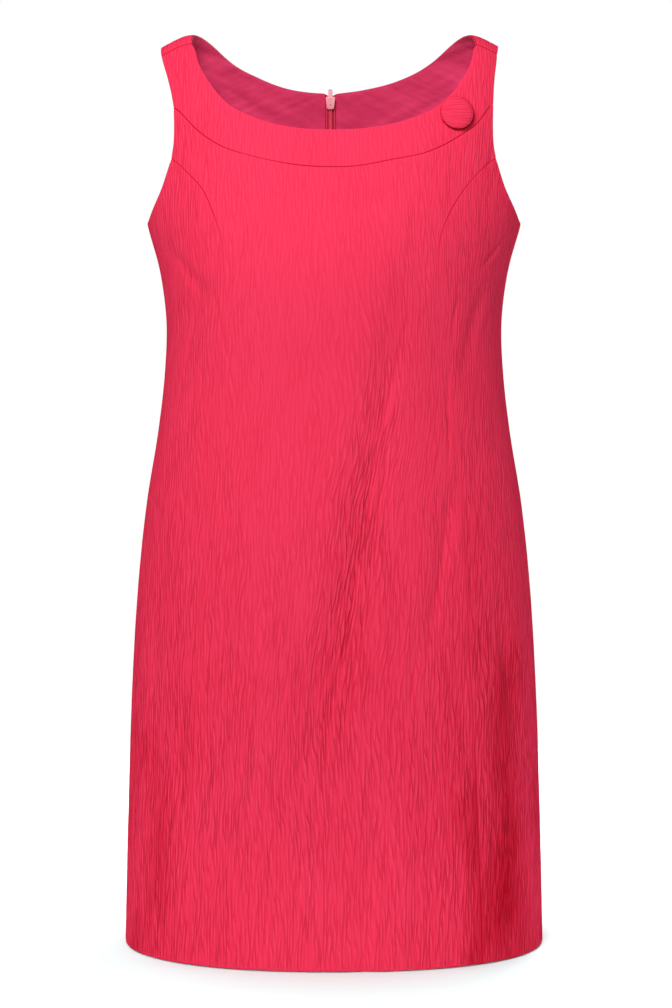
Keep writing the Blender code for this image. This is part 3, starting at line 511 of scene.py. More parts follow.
def at_side(height, side, front_or_back):
    """Turn and reach of a point of the side seam."""
    drop = -height
    for _ in range(SETTLE_ROUNDS):
        width = float(between(LEVEL_WIDTH, LEVEL_REACH, math.sqrt(drop)))
        drop = float(shoulder_ridge(side * width) * slope_share(drop)) - height
    return (90.0 * side, front_or_back * math.sqrt(drop))


def trace(knots, cells, crowd=1.0):
    """Points along a smooth curve through the knots, evenly spaced, or
    closer together at its start if crowd is above 1."""
    knots = np.array(knots, float)
    if len(knots) == 2:
        fine = np.linspace(knots[0], knots[1], STRAIGHT_STEPS)
    else:
        places = run_along(form(*knots.T))
        at = np.linspace(0, places[-1], CURVE_STEPS)
        fine = np.stack([between(part, places, at) for part in knots.T], axis=-1)
    run = run_along(form(*fine.T))
    at = run[-1] * np.linspace(0, 1, cells + 1)**crowd
    return np.stack([np.interp(at, run, part) for part in fine.T], axis=-1)


def patch(top, bottom, start, end, level_soon=1):
    """Grid of turns and reaches between four edges that share corners."""
    across = np.linspace(0, 1, len(top))[None, :, None]
    down = 1 - (1 - np.linspace(0, 1, len(start))[:, None, None])**level_soon
    corners = ((1 - across) * (1 - down) * top[0] + across * (1 - down) * top[-1]
               + (1 - across) * down * bottom[0] + across * down * bottom[-1])
    return ((1 - down) * top[None] + down * bottom[None]
            + (1 - across) * start[:, None] + across * end[:, None] - corners)


def joined(*stretches):
    """One edge from several, each starting where the last one ends."""
    return np.concatenate([stretches[0]] + [s[1:] for s in stretches[1:]])


# ---------------------------------------------------------------- seams
def signed(side, edge):
    """Where an edge lies across, on one side."""
    return side * (edge.right if side < 0 else edge.left)


def side_knots(side, table, front_or_back, low=-LENGTH, high=0.0):
    """Points of a table's rows whose heights lie between two heights."""
    return [at_place(signed(side, edge), edge.height, front_or_back)
            for edge in table if low < edge.height < high]


def armhole_point(side, height):
    """Point of the front armhole's edge at a height."""
    heights = np.array([edge.height for edge in FRONT_ARMHOLE])[::-1]
    across = np.array([signed(side, edge) for edge in FRONT_ARMHOLE])[::-1]
    return at_place(float(between(across, heights, height)), height, -1)


def neck_front(cuts):
    """Neck edge of the yoke, split into strap, middle and strap."""
    knots = [at_reach(FRONT_NECK[0].across, SHOULDER_SEAM)]
    knots += [at_place(p.across, p.height, -1) for p in FRONT_NECK[1:-1]]
    knots += [at_reach(FRONT_NECK[-1].across, SHOULDER_SEAM)]
    fine = trace(knots, CURVE_STEPS)
    points = form(*fine.T)
    corners = []
    for side in (-1, 1):
        corner = form(*armhole_point(side, YOKE_END_HEIGHT[side]))
        corners.append(int(np.argmin(np.linalg.norm(points - corner, axis=1))))
    first, last = corners
    return (trace(fine[:first + 1], YOKE_STRAP_CELLS * cuts),
            trace(fine[first:last + 1], YOKE_MIDDLE_CELLS * cuts),
            trace(fine[last:], YOKE_STRAP_CELLS * cuts))


def yoke_seam(cuts):
    """Seam under the yoke, from armhole to armhole."""
    knots = [armhole_point(-1, YOKE_END_HEIGHT[-1])]
    knots += [at_place(p.across, p.height, -1) for p in YOKE_SEAM]
    knots += [armhole_point(1, YOKE_END_HEIGHT[1])]
    return trace(knots, YOKE_MIDDLE_CELLS * cuts)


def armhole_strap(side, cuts):
    """Front armhole from the shoulder seam down to the yoke seam."""
    end = YOKE_END_HEIGHT[side]
    knots = [at_reach(ARMHOLE_AT_SEAM[side], SHOULDER_SEAM)]
    knots += side_knots(side, FRONT_ARMHOLE, -1, end + ROW_CLEARANCE)
    return trace(knots + [armhole_point(side, end)], YOKE_STRAP_CELLS * cuts)


def armhole_upper(side, cuts):
    """Front armhole beside the middle front panel."""
    start = YOKE_END_HEIGHT[side]
    end = PRINCESS_START_HEIGHT[side]
    knots = [armhole_point(side, start)]
    knots += side_knots(side, FRONT_ARMHOLE, -1, end + ROW_CLEARANCE,
                        start - ROW_CLEARANCE)
    return trace(knots + [armhole_point(side, end)], ARMHOLE_UPPER_CELLS * cuts)


def armhole_lower(side, cuts):
    """Front armhole of a side front, down to the side seam."""
    start = PRINCESS_START_HEIGHT[side]
    knots = [armhole_point(side, start)]
    knots += side_knots(side, FRONT_ARMHOLE, -1, UNDERARM_HEIGHT, start - ROW_CLEARANCE)
    knots += [at_side(UNDERARM_HEIGHT, side, -1)]
    fine = trace(knots, CURVE_STEPS)
    points = form(*fine.T)
    run = np.linalg.norm(points - points[0], axis=1)
    return trace(fine[int(np.argmax(run > SIDE_TOP_WIDTH)):], ARMHOLE_LOWER_CELLS * cuts)


def side_seam(side, front_or_back, cuts):
    """Side seam from the armhole to the hem."""
    return trace([at_side(UNDERARM_HEIGHT, side, front_or_back),
                  at_side(-LENGTH, side, front_or_back)],
                 SIDE_SEAM_CELLS * cuts, SIDE_SEAM_CROWD)


def princess_seam(side, cuts):
    """Seam between the middle front and a side front."""
    knots = [armhole_point(side, PRINCESS_START_HEIGHT[side])]
    knots += side_knots(side, PRINCESS_SEAM, -1)
    knots += [at_place(side * PRINCESS_AT_HEM[side], -LENGTH, -1)]
    return trace(knots, (ARMHOLE_LOWER_CELLS + SIDE_SEAM_CELLS) * cuts)


def hem(start, end, cells):
    """Level hem between two points, on the front or the back."""
    turns = np.linspace(start[0], end[0], cells + 1)
    reach = math.copysign(math.sqrt(LENGTH), start[1])
    return np.stack([turns, np.full(turns.shape, reach)], axis=-1)


def back_neck(side, cuts):
    """Back neck edge: over the shoulder, along the neck, into the notch."""
    notch = at_place(BACK_CENTRE, ZIP_NOTCH_HEIGHT, 1)
    seam_across = FRONT_NECK[0].across if side < 0 else FRONT_NECK[-1].across
    knots = [at_reach(seam_across, SHOULDER_SEAM), at_reach(NECK_AT_RIDGE[side], 0.0)]
    knots += [at_place(p.across, p.height, 1) for p in BACK_NECK[side]]
    return joined(trace(knots, (BACK_NECK_CELLS - 1) * cuts), trace([knots[-1], notch], cuts))


def centre_back(cuts):
    """Centre-back seam, in an upper stretch beside the armhole's rows."""
    upper = BACK_ARMHOLE_CELLS - BACK_NECK_CELLS
    heights = (ZIP_NOTCH_HEIGHT, -0.10, -0.15, -0.20, CENTRE_BACK_SPLIT)
    first = [at_place(BACK_CENTRE, h, 1) for h in heights]
    heights = np.linspace(CENTRE_BACK_SPLIT, -LENGTH, 26)
    second = [at_place(BACK_CENTRE, h, 1) for h in heights]
    return joined(trace(first, upper * cuts),
                  trace(second, SIDE_SEAM_CELLS * cuts, SIDE_SEAM_CROWD))


def back_armhole(side, cuts):
    """Back armhole from the shoulder seam to the side seam."""
    knots = [at_reach(ARMHOLE_AT_SEAM[side], SHOULDER_SEAM),
             at_reach(ARMHOLE_AT_RIDGE[side], 0.0)]
    knots += side_knots(side, BACK_ARMHOLE, 1)
    knots += [at_side(UNDERARM_HEIGHT, side, 1)]
    return trace(knots, BACK_ARMHOLE_CELLS * cuts)


# ---------------------------------------------------------------- panels
def front_yoke_grid(down, across):
    """Grid of the yoke with its straps."""
    neck = joined(*neck_front(across))
    outer = joined(armhole_strap(-1, across), yoke_seam(across),
                   armhole_strap(1, across)[::-1])
    first = trace([neck[0], outer[0]], STRAP_ACROSS_CELLS * down)
    last = trace([neck[-1], outer[-1]], STRAP_ACROSS_CELLS * down)
    return patch(neck, outer, first, last)


def centre_front_grid(down, across):
    """Grid of the middle front panel."""
    right = joined(armhole_upper(-1, down), princess_seam(-1, down))
    left = joined(armhole_upper(1, down), princess_seam(1, down))
    bottom = hem(right[-1], left[-1], YOKE_MIDDLE_CELLS * across)
    return patch(yoke_seam(across), bottom, right, left, level_soon=16)


def side_front_grid(side, down, across):
    """Grid of a side front panel."""
    inner = princess_seam(side, down)
    outer = joined(armhole_lower(side, down), side_seam(side, -1, down))
    top = trace([inner[0], outer[0]], SIDE_ACROSS_CELLS * across)
    bottom = hem(inner[-1], outer[-1], SIDE_ACROSS_CELLS * across)
    return patch(top, bottom, inner, outer)


def back_grid(side, down, across):
    """Grid of a back panel, over the shoulder to the hem."""
    inner = joined(back_neck(side, down), centre_back(down))
    outer = joined(back_armhole(side, down), side_seam(side, 1, down))
    top = trace([inner[0], outer[0]], BACK_ACROSS_CELLS * across)
    bottom = hem(inner[-1], outer[-1], BACK_ACROSS_CELLS * across)
    return patch(top, bottom, inner, outer)


# ---------------------------------------------------------------- cloth
# Odd numbers that scatter a cell's column, row and seed into a direction.
SCATTER = (374761393, 668265263, 974634777, 1274126177)
LOW_BITS = 0xFFFFFFFF


def wander(x, y, seed):
    """Smooth uneven noise from about -1 to 1 over a plane."""
    column = np.floor(x).astype(np.int64)
    row = np.floor(y).astype(np.int64)

    def pull(i, j):
        mixed = (i * SCATTER[0] + j * SCATTER[1] + seed * SCATTER[2]) & LOW_BITS
        mixed = ((mixed ^ (mixed >> 13)) * SCATTER[3]) & LOW_BITS
        angle = (mixed ^ (mixed >> 16)) * (math.tau / 2**32)
        return np.cos(angle) * (x - i) + np.sin(angle) * (y - j)

    def eased(s):
        return s * s * s * (s * (s * 6 - 15) + 10)

    s = eased(x - column)
    t = eased(y - row)
    upper = pull(column, row) * (1 - s) + pull(column + 1, row) * s
    lower = pull(column, row + 1) * (1 - s) + pull(column + 1, row + 1) * s
    return (upper * (1 - t) + lower * t) * 1.5


def length_tables():
    """Arc lengths round the front and back from the middle, by reach."""
    reaches = np.linspace(0, LEVEL_REACH[-1], ARC_ROWS)
    turns = np.linspace(0, QUARTER, QUARTER + 1)
    arcs = {}
    for side in (-1, 1):
        points = form(turns[None, :], side * reaches[:, None] - 1e-9 * (side < 0))
        arcs[side] = run_along(points.swapaxes(0, 1)).T
    return reaches, arcs, run_along(form(0.0, -reaches))


QUARTER = 90                # degrees from the middle to the side seam
ARC_ROWS = 90
REACHES, ARCS, DOWN_LENGTHS = length_tables()


def cloth_place(turn, reach):
    """Where a point lies on the flat cloth: across from the middle, down."""
    row = np.abs(reach) / REACHES[-1] * (ARC_ROWS - 1)
    low = np.clip(row.astype(int), 0, ARC_ROWS - 2)
    column = np.abs(turn)
    left = np.clip(column.astype(int), 0, QUARTER - 1)
    s = row - low
    t = column - left
    across = np.zeros(np.shape(turn))
    for side, arc in ARCS.items():
        value = ((arc[low, left] * (1 - t) + arc[low, left + 1] * t) * (1 - s)
                 + (arc[low + 1, left] * (1 - t) + arc[low + 1, left + 1] * t) * s)
        across = np.where((reach < 0) == (side < 0), value, across)
    down = np.interp(np.abs(reach), REACHES, DOWN_LENGTHS)
    return across * np.sign(turn), down * np.where(reach < 0, 1, -1)


# Noise in cells on the flat cloth: their width and length, how far each
# column of cells is moved on for a metre across, and what the seed gains.
Cells = namedtuple("Cells", "wide long slant seed")
CREASE_SWAY = Cells(0.034, 0.120, 9, 1)
PAD_SWELL = Cells(0.021, 0.055, 17, 31)
CREASE_DEPTHS = Cells(0.006, 0.050, 40, 40)
# Streaks that break up the trough's painted shade.
TROUGH_STREAKS = Cells(0.0042, 0.034, 50, 50)
LIGHT_PATCHES = Cells(0.040, 0.120, 0, 60)


def patchy(cells, across, down, seed):
    return wander(across / cells.wide, down / cells.long + across * cells.slant,
                  seed + cells.seed)


def bell(away, width):
    """1 at no distance, falling smoothly to 0 past the width."""
    return np.exp(-(away / width)**2)


# Shares of the pitch: how far creases fork and sway, and how wide one is.
FORK_SHARE, SWAY_SHARE, CREASE_SHARE = 1.1, 0.5, 0.42
SHOWN_LENGTH = 0.038        # a crease shows for about so long at a time


def creased(across, down, lean, pitch, seed):
    """Long fine creases, 1 in a crease and 0 between, that lean, wander and fade."""
    forks = Cells(pitch * 2.6, 0.060, 31, 0)
    lines = ((across + lean * down) / pitch
             + FORK_SHARE * patchy(forks, across, down, seed)
             + SWAY_SHARE * patchy(CREASE_SWAY, across, down, seed))
    line = np.floor(lines)
    part = np.abs(lines - line - 0.5) * 2
    shows = 0.45 + 1.2 * wander(line * 0.73 + 0.31, down / SHOWN_LENGTH + line * 5.37,
                                seed + 2)
    return bell(part, CREASE_SHARE) * np.clip(shows, 0, 1)


# Families of crinkles: lean, share of the typical pitch, what the seed gains.
CRINKLE_FAMILIES = ((0.02, 1.0, 1), (0.13, 1.35, 11), (-0.12, 1.25, 21))
PAD_HEIGHT, PAD_UNEVEN = 0.45, 0.20


def crinkles(across, down, seed, pitch):
    """Height of the pressed crinkles: pads parted by long forked creases."""
    deep = np.max([creased(across, down, lean, pitch * wider, seed + more)
                   for lean, wider, more in CRINKLE_FAMILIES], axis=0)
    return PAD_HEIGHT + PAD_UNEVEN * patchy(PAD_SWELL, across, down, seed) - deep


# Middle of the broad slanting trough down the front, on the flat cloth.
TROUGH_DOWN = (0.20, 0.26, 0.375, 0.50, 0.60, 0.725, 0.80)
TROUGH_ACROSS = (0.084, 0.076, 0.051, 0.024, 0.016, -0.007, -0.019)
TROUGH_WIDTH = 0.027
TROUGH_LEAN_WIDTH = 0.060   # how far round it the crinkles follow it
TROUGH_BOLDEST = 0.53       # how far down it is boldest, and for how long
TROUGH_LENGTH = 0.22
TROUGH_UPRIGHT = 0.022      # where across the crinkles run straight down


def trough_share(across, down, width):
    """Middle of the trough, and 1 along it, falling to 0 away from it."""
    middle = np.interp(down, TROUGH_DOWN, TROUGH_ACROSS)
    return middle, bell(across - middle, width) * bell(down - TROUGH_BOLDEST, TROUGH_LENGTH)


def along_folds(across, down):
    """Place on the cloth, shifted so that crinkles follow the trough."""
    middle, share = trough_share(across, down, TROUGH_LEAN_WIDTH)
    return across - (middle - TROUGH_UPRIGHT) * share


# How bold the crinkles are: at least, and what each place adds.
LEAST_STRENGTH = 0.30
AWAY_STRENGTH = 0.28
LOW_STRENGTH = 0.38
LEFT_STRENGTH = 0.20
TROUGH_STRENGTH = 0.62
BOLD_ANGLE, BOLD_HEIGHT = 45, -0.76         # middle of the boldest place on the left


def crinkle_strength(angle, height):
    """Crinkles are soft on the upper front and bold down the sides, most of
    all low on the wearer's left."""
    away = rise(np.abs(angle), 20, 32)
    low = rise(-height, 0.35, 0.35)
    left = np.exp(-((angle - BOLD_ANGLE) / 22)**2 - ((height - BOLD_HEIGHT) / 0.30)**2)
    return LEAST_STRENGTH + AWAY_STRENGTH * away + LOW_STRENGTH * low + LEFT_STRENGTH * left


SEAM_FAINT, SEAM_CLEARER = 0.20, 0.66


def seam_fade(height):
    """A long seam shows clearly near the top and sinks into the crinkles."""
    return SEAM_FAINT + SEAM_CLEARER * rise(height, -0.27, 0.09)


def refined(grid):
    """Grid with extra rows and columns next to its edges, for crisp seams."""
    for axis in (0, 1):
        last = grid.shape[axis] - 1
        at = np.concatenate([[0], EDGE_SHARES, np.arange(1, last),
                             last - np.array(EDGE_SHARES[::-1]), [last]])
        low = np.minimum(at.astype(int), last - 1)
        share = at - low
        share = share[:, None, None] if axis == 0 else share[None, :, None]
        grid = (np.take(grid, low, axis) * (1 - share)
                + np.take(grid, low + 1, axis) * share)
    return grid


def kept(count, skip, bent=0):
    """Rows that the plain inner side keeps: the edges and every few between,
    with nearly all of the first rows, as many as bent, for a tight bend."""
    extra = len(EDGE_SHARES)
    first = list(range(extra + 1, bent))
    inside = list(range(first[-1] if first else extra, count - extra - skip, skip))
    return [0] + first + inside[1:] + [count - 1]


# The edges of a panel's grid: the axis across each, and the way in from it.
TOP, BOTTOM, FIRST, LAST = (0, 1), (0, -1), (1, 1), (1, -1)


def from_edge(grid, edge):
    """The same grid, seen with one of its edges as the first row."""
    axis, way = edge
    return np.moveaxis(grid, axis, 0)[::way]


def edge_distance(points, edge):
    """Rough distance of each point of a grid from one of its edges."""
    axis, way = edge
    return np.moveaxis(run_along(from_edge(points, edge))[::way], 0, axis)


def draw_in(points, normals, edge, amount):
    """Moves one edge of a grid inwards along the cloth."""
    line, inside = from_edge(points, edge)[:2]
    inwards = inside - line
    for direction in (unit(np.gradient(line, axis=0)), from_edge(normals, edge)[0]):
        inwards = inwards - direction * np.sum(inwards * direction, axis=1, keepdims=True)
    line += unit(inwards) * amount


def fanned(loop):
    """Triangles of one stretch of rim, so that it stays clean where it bends.
    The loop's last two points lie on the inner side."""
    run, near_end, near_start = loop[:-2], loop[-2], loop[-1]
    half = len(run) // 2
    faces = [[run[k], run[k + 1], near_start] for k in range(half)]
    faces.append([run[half], near_end, near_start])
    return faces + [[run[k], run[k + 1], near_end] for k in range(half, len(run) - 1)]


def rim_faces(outer, inner, kept_rows, kept_columns):
    """Faces of the rim: stretches of the outer side's edges, each against one
    edge of the plainer inner side.  Both are grids of point numbers."""
    faces = []
    for line, inside, at, ahead in ((outer[0], inner[0], kept_columns, False),
                                    (outer[-1], inner[-1], kept_columns, True),
                                    (outer[:, 0], inner[:, 0], kept_rows, True),
                                    (outer[:, -1], inner[:, -1], kept_rows, False)):
        line, inside = line.tolist(), inside.tolist()
        for k, (start, end) in enumerate(zip(at, at[1:])):
            run, near = line[start:end + 1], inside[k:k + 2]
            faces += fanned(run + near[::-1] if ahead else run[::-1] + near)
    return faces


def cell_faces(grid):
    """Quads between the points of a grid of point numbers."""
    corners = grid[:-1, :-1], grid[:-1, 1:], grid[1:, 1:], grid[1:, :-1]
    return np.stack(corners, axis=-1).reshape(-1, 4)


def new_object(name, mesh, material):
    mesh.materials.append(material)
    piece = bpy.data.objects.new(name, mesh)
    bpy.context.collection.objects.link(piece)
    return piece


def write_marks(mesh, marks):
    """Gives each point its place on the flat cloth, across and down, the
    light and shade painted there, and how bold its crinkles are; a facing keeps its painted light
    near the neck edge there instead."""
    loops = np.zeros(len(mesh.loops), np.int32)
    mesh.loops.foreach_get("vertex_index", loops)
    cut = mesh.uv_layers.new(name="cut")
    cut.data.foreach_set("uv", marks[loops, :2].astype(np.float32).ravel())
    for column, word in ((2, "crinkle"), (3, "bold")):
        mark = mesh.attributes.new(word, "FLOAT", "POINT")
        mark.data.foreach_set("value", marks[:, column].astype(np.float32))


def shell(name, outer, inner, marks, material, kept_rows, kept_columns):
    """Closed cloth wall: a fine outer side, a plainer inner side and a rim."""
    rows, columns = outer.shape[:2]
    coarse = np.ix_(kept_rows, kept_columns)
    points = np.concatenate([outer.reshape(-1, 3), inner[coarse].reshape(-1, 3)])
    marks = np.concatenate([marks.reshape(-1, 4), marks[coarse].reshape(-1, 4)])
    numbers = np.arange(len(points))
    outside = numbers[:rows * columns].reshape(rows, columns)
    inside = numbers[rows * columns:].reshape(len(kept_rows), len(kept_columns))
    skin = cell_faces(outside)
    faces = skin.tolist() + cell_faces(inside)[:, ::-1].tolist()
    faces += rim_faces(outside, inside, kept_rows, kept_columns)
    a, b, c = points[skin[len(skin) // 2][:3]]
    wall = outer[rows // 2, columns // 2] - inner[rows // 2, columns // 2]
    if np.dot(np.cross(b - a, c - b), wall) < 0:
        faces = [face[::-1] for face in faces]
    mesh = bpy.data.meshes.new(name)
    mesh.from_pydata(points.tolist(), [], faces)
    write_marks(mesh, marks)
    mesh.shade_smooth()
    mesh.set_sharp_from_angle(angle=SHARP_ANGLE)
    mesh.update()
    return new_object(name, mesh, material)


def surface_area(points):
    """Area of a grid of points."""
    side = points[1:, :-1] - points[:-1, :-1]
    along = points[:-1, 1:] - points[:-1, :-1]
    other = points[1:, 1:] - points[1:, :-1]
    rest = points[1:, 1:] - points[:-1, 1:]
    return 0.5 * float(np.sum(np.linalg.norm(np.cross(side, along), axis=-1))
                       + np.sum(np.linalg.norm(np.cross(other, rest), axis=-1)))


def declare_cloth(piece, node, area):
    """Attaches a cloth piece to the dress's body and hides the solid it replaces."""
    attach(piece, "dress")
    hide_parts(node)


# Distances over which the cloth changes beside an edge.
CALM_WIDTH = 0.0022         # the crinkles are pressed flat
SEAM_WIDTH = 0.0008         # the line of a seam
PUCKER_WIDTH = 0.0030       # the painted shade line along a seam
TURNED_WIDTH = 0.0007       # a turned edge rounds over
RING_WIDTH = 0.0014         # the button's painted shadow ring on the yoke
PUCKER_SHARE = 0.25
CALM_SHARE = 0.75
RING_SHARE = 0.8


def edge_relief(node, smooth, seams):
    """What a panel's edges do to it: how much of the crinkles is left, how
    far the cloth rolls in, and how much shade is painted along a seam and, on the yoke, as the
    button's shadow."""
    sizes = bpy.context.scene.dress_sizes
    calm = np.ones(smooth.shape[:2])
    roll = np.zeros(calm.shape)
    line = np.zeros(calm.shape)
    for edge in (TOP, BOTTOM, FIRST, LAST):
        away = edge_distance(smooth, edge)
        calm *= 1 - CALM_SHARE * bell(away, CALM_WIDTH)
        if edge in seams:
            fade = 1.0 if edge in (TOP, BOTTOM) else seam_fade(smooth[..., 2])
            roll -= sizes.seam_roll * fade * bell(away, SEAM_WIDTH)
            roll -= PUCKER_SHARE * sizes.seam_roll * bell(away, PUCKER_WIDTH)
            line += fade * bell(away, SEAM_WIDTH)
        else:
            roll -= sizes.edge_roll * bell(away, TURNED_WIDTH)
    # A ring of painted shadow round the button.
    if node == "front_yoke":
        ring = np.hypot(smooth[..., 0] - BUTTON_SHADE.across,
                        smooth[..., 2] - BUTTON_SHADE.height)
        line += RING_SHARE * bell(ring - BUTTON_RADIUS, RING_WIDTH)
    return calm, roll, line


CREASE_DEPTH = 1.1          # of the table's depths
SUNK_DEPTH = 0.0012         # crease depth that sets how strong the painted shade in a crease is
# How much painted light (+) or painted shade (-) each thing puts on the cloth; the broad patches
# only vary its tone at random.
PAD_LIGHT = 0.7
LINE_LIGHT = -4.8
TROUGH_STREAK_SHADE = -1.8
SUNK_CREASE_SHADE = -0.9
CROWDED_SHADE_AMOUNT = (-5.0, 1.6)   # painted shade where crinkles crowd, down the sides and low, and how much less behind
PATCH_LIGHT = (0.9, -0.6)   # broad patches, and how much less behind
CROWDED_SHADE_FROM = 0.34           # strength above which that painted shade begins


def crinkled_panel(node, grid, seams, seed):
    """One crinkled panel: form, folds, creases, crinkles and rolled edges."""
    sizes = bpy.context.scene.dress_sizes
    grid = refined(grid)
    turn, reach = grid[..., 0], grid[..., 1]
    front = reach < 0
    smooth = form(turn, reach)
    normals = outward(turn, reach)
    across, down = cloth_place(turn, reach)
    laid = along_folds(across, down)
    angle = body_angle(turn, reach)
    folds = fold_relief(turn, reach, FOLDS)
    uneven = 0.85 + 0.3 * patchy(CREASE_DEPTHS, across, down, seed)
    creases = CREASE_DEPTH * fold_relief(turn, reach, CREASES) * uneven
    base = smooth + normals * folds[..., None]
    for edge in seams:
        draw_in(base, normals, edge, sizes.seam_gap / 2)
    lift = crinkles(laid, down, seed, sizes.crinkle_pitch)
    trough = trough_share(across, down, TROUGH_WIDTH)[1] * (turn < 60) * front
    general = crinkle_strength(angle, smooth[..., 2])
    calm, roll, line = edge_relief(node, smooth, seams)
    bold = (general + TROUGH_STRENGTH * trough) * calm
    relief = lift * bold * sizes.crinkle_depth + creases + roll
    outer = base + normals * relief[..., None]
    inner = base - normals * sizes.cloth
    # The trough's painted shade, broken into streaks.
    streak = np.clip(0.75 + 0.9 * patchy(TROUGH_STREAKS, laid, down, seed), 0, 1.5)
    # Painted shade in the deeper creases of the front.
    sunk = np.clip(-creases / SUNK_DEPTH - 0.35, 0, 1.2)**2 * front
    # Painted shade where crinkles crowd, down the sides and low on the dress.
    crowded_shade = np.clip(general - CROWDED_SHADE_FROM, 0, 1)
    behind = rise(np.abs(angle), 90, 40)
    # Painted light on the crinkles' pads and painted shade in their hollows, along seams, round
    # the button, along the trough, in sunk creases and where crinkles crowd; broad random patches
    # vary the tone.
    shade = (PAD_LIGHT * lift * calm + LINE_LIGHT * line + TROUGH_STREAK_SHADE * trough * streak
             + SUNK_CREASE_SHADE * sunk + (CROWDED_SHADE_AMOUNT[0] + CROWDED_SHADE_AMOUNT[1] * behind) * crowded_shade
             + (PATCH_LIGHT[0] + PATCH_LIGHT[1] * behind)
             * patchy(LIGHT_PATCHES, laid, down, seed))
    marks = np.stack([laid, down, shade, bold], axis=-1)
    bent = BENT_CELLS * DOWN_CUTS if node.startswith("back") else 0
    rows, columns = grid.shape[:2]
    piece = shell(node + "_cloth", outer, inner, marks, crinkle_material(),
                  kept(rows, INNER_SKIP_DOWN, bent), kept(columns, INNER_SKIP_ACROSS))
    declare_cloth(piece, node, surface_area(smooth))


# ---------------------------------------------------------------- finishes
class Value:
    """A shader socket that takes part in sums written as Python."""

    def __init__(self, finish, socket):
        self.finish = finish
        self.socket = socket

    def math(self, operation, *inputs):
        return self.finish.node("ShaderNodeMath", {"operation": operation},
                                dict(enumerate(inputs)))

    def __add__(self, other):
        return self.math("ADD", self, other)

    def __sub__(self, other):
        return self.math("SUBTRACT", self, other)

    def __rsub__(self, other):
        return self.math("SUBTRACT", other, self)

    def __mul__(self, other):
        return self.math("MULTIPLY", self, other)

    def __truediv__(self, other):
        return self.math("DIVIDE", self, other)

    def __rtruediv__(self, other):
        return self.math("DIVIDE", other, self)

    __radd__ = __add__
    __rmul__ = __mul__

    def __abs__(self):
        return self.math("ABSOLUTE", self)

    def sine(self):
        return self.math("SINE", self)

    def at_least(self, other):
        return self.math("MAXIMUM", self, other)

    def held(self):
        """Kept between 0 and 1."""
        return self.math("MINIMUM", self.at_least(0.0), 1.0)


class Finish:
    """A material under construction."""

    def __init__(self, name):
        self.material = bpy.data.materials.new(name)
        self.material.use_nodes = True
        self.tree = self.material.node_tree
        self.shader = self.tree.nodes["Principled BSDF"]

    def node(self, kind, settings, sockets, output=0):
        """Adds a node: its settings first, then its sockets by place or name."""
        node = self.tree.nodes.new(kind)
        for key, setting in settings.items():
            setattr(node, key, setting)
        for key, value in sockets.items():
            self.fill(node.inputs[key], value)
        return Value(self, node.outputs[output])

    def fill(self, socket, value):
        if isinstance(value, Value):
            self.tree.links.new(value.socket, socket)
        else:
            socket.default_value = value

    def set(self, **values):
        """Fills the shader's own sockets, by name."""
        for key, value in values.items():
            self.fill(self.shader.inputs[key.replace("_", " ")], value)

    def blend(self, share, first, second):
        """Mix of two colours, the second where the share is 1."""
        first, second = (colour if isinstance(colour, Value) else (*colour, 1)
                         for colour in (first, second))
        return self.node("ShaderNodeMix", {"data_type": "RGBA", "clamp_factor": True},
                         {0: share, 6: first, 7: second}, output=2)

    def mark(self, word):
        """Painted light and shade, or the crinkles' boldness, from the piece's points."""
        return self.node("ShaderNodeAttribute", {"attribute_name": word}, {}, output=2)

    def flat(self):
        """Place on the flat cloth."""
        return self.node("ShaderNodeUVMap", {"uv_map": "cut"}, {})

    def cut(self, across, down, shift=0.0):
        """Place on the flat cloth in cells, so many a metre across and down."""
        return self.node("ShaderNodeMapping", {},
                         {"Vector": self.flat(), "Location": (shift, shift, 0.0),
                          "Scale": (across, down, 1.0)})

    def slanted(self, across, down):
        """Place on the flat cloth in slanting cells: each of across and down
        gives what a metre across, a metre down and a fixed step add."""
        place = self.flat()
        sums = {}
        for axis, (per_across, per_down, step) in enumerate((across, down)):
            dot = self.node("ShaderNodeVectorMath", {"operation": "DOT_PRODUCT"},
                            {0: place, 1: (per_across, per_down, 0.0)}, output=1)
            sums[axis] = dot + step
        return self.node("ShaderNodeCombineXYZ", {}, sums)

    def solid(self, cells):
        """Place on a hard piece, in so many cells a metre."""
        place = self.node("ShaderNodeTexCoord", {}, {}, output=3)
        return self.node("ShaderNodeMapping", {},
                         {"Vector": place, "Scale": (cells, cells, cells)})

    def noise(self, place, detail, dimensions="2D"):
        return self.node("ShaderNodeTexNoise", {"noise_dimensions": dimensions},
                         {"Vector": place, "Scale": 1.0, "Detail": detail})

    def bump(self, height, distance, strength=1.0):
        return self.node("ShaderNodeBump", {},
                         {"Height": height, "Distance": distance, "Strength": strength})


FINISHES = {}


def once(make):
    """Keeps one copy of a material for all its pieces."""
    def finish():
        if make.__name__ not in FINISHES:
            FINISHES[make.__name__] = make()
        return FINISHES[make.__name__]
    return finish


# Cells that bend the fine creases, and by how much of a turn each does.
CREASE_SLOW_BEND = ((14, 1, 0), (2, 6, 0))
CREASE_QUICK_BEND = ((70, 3, 4), (6, 18, 4))
SLOW_TURNS = 8.0
QUICK_TURNS = 4.0
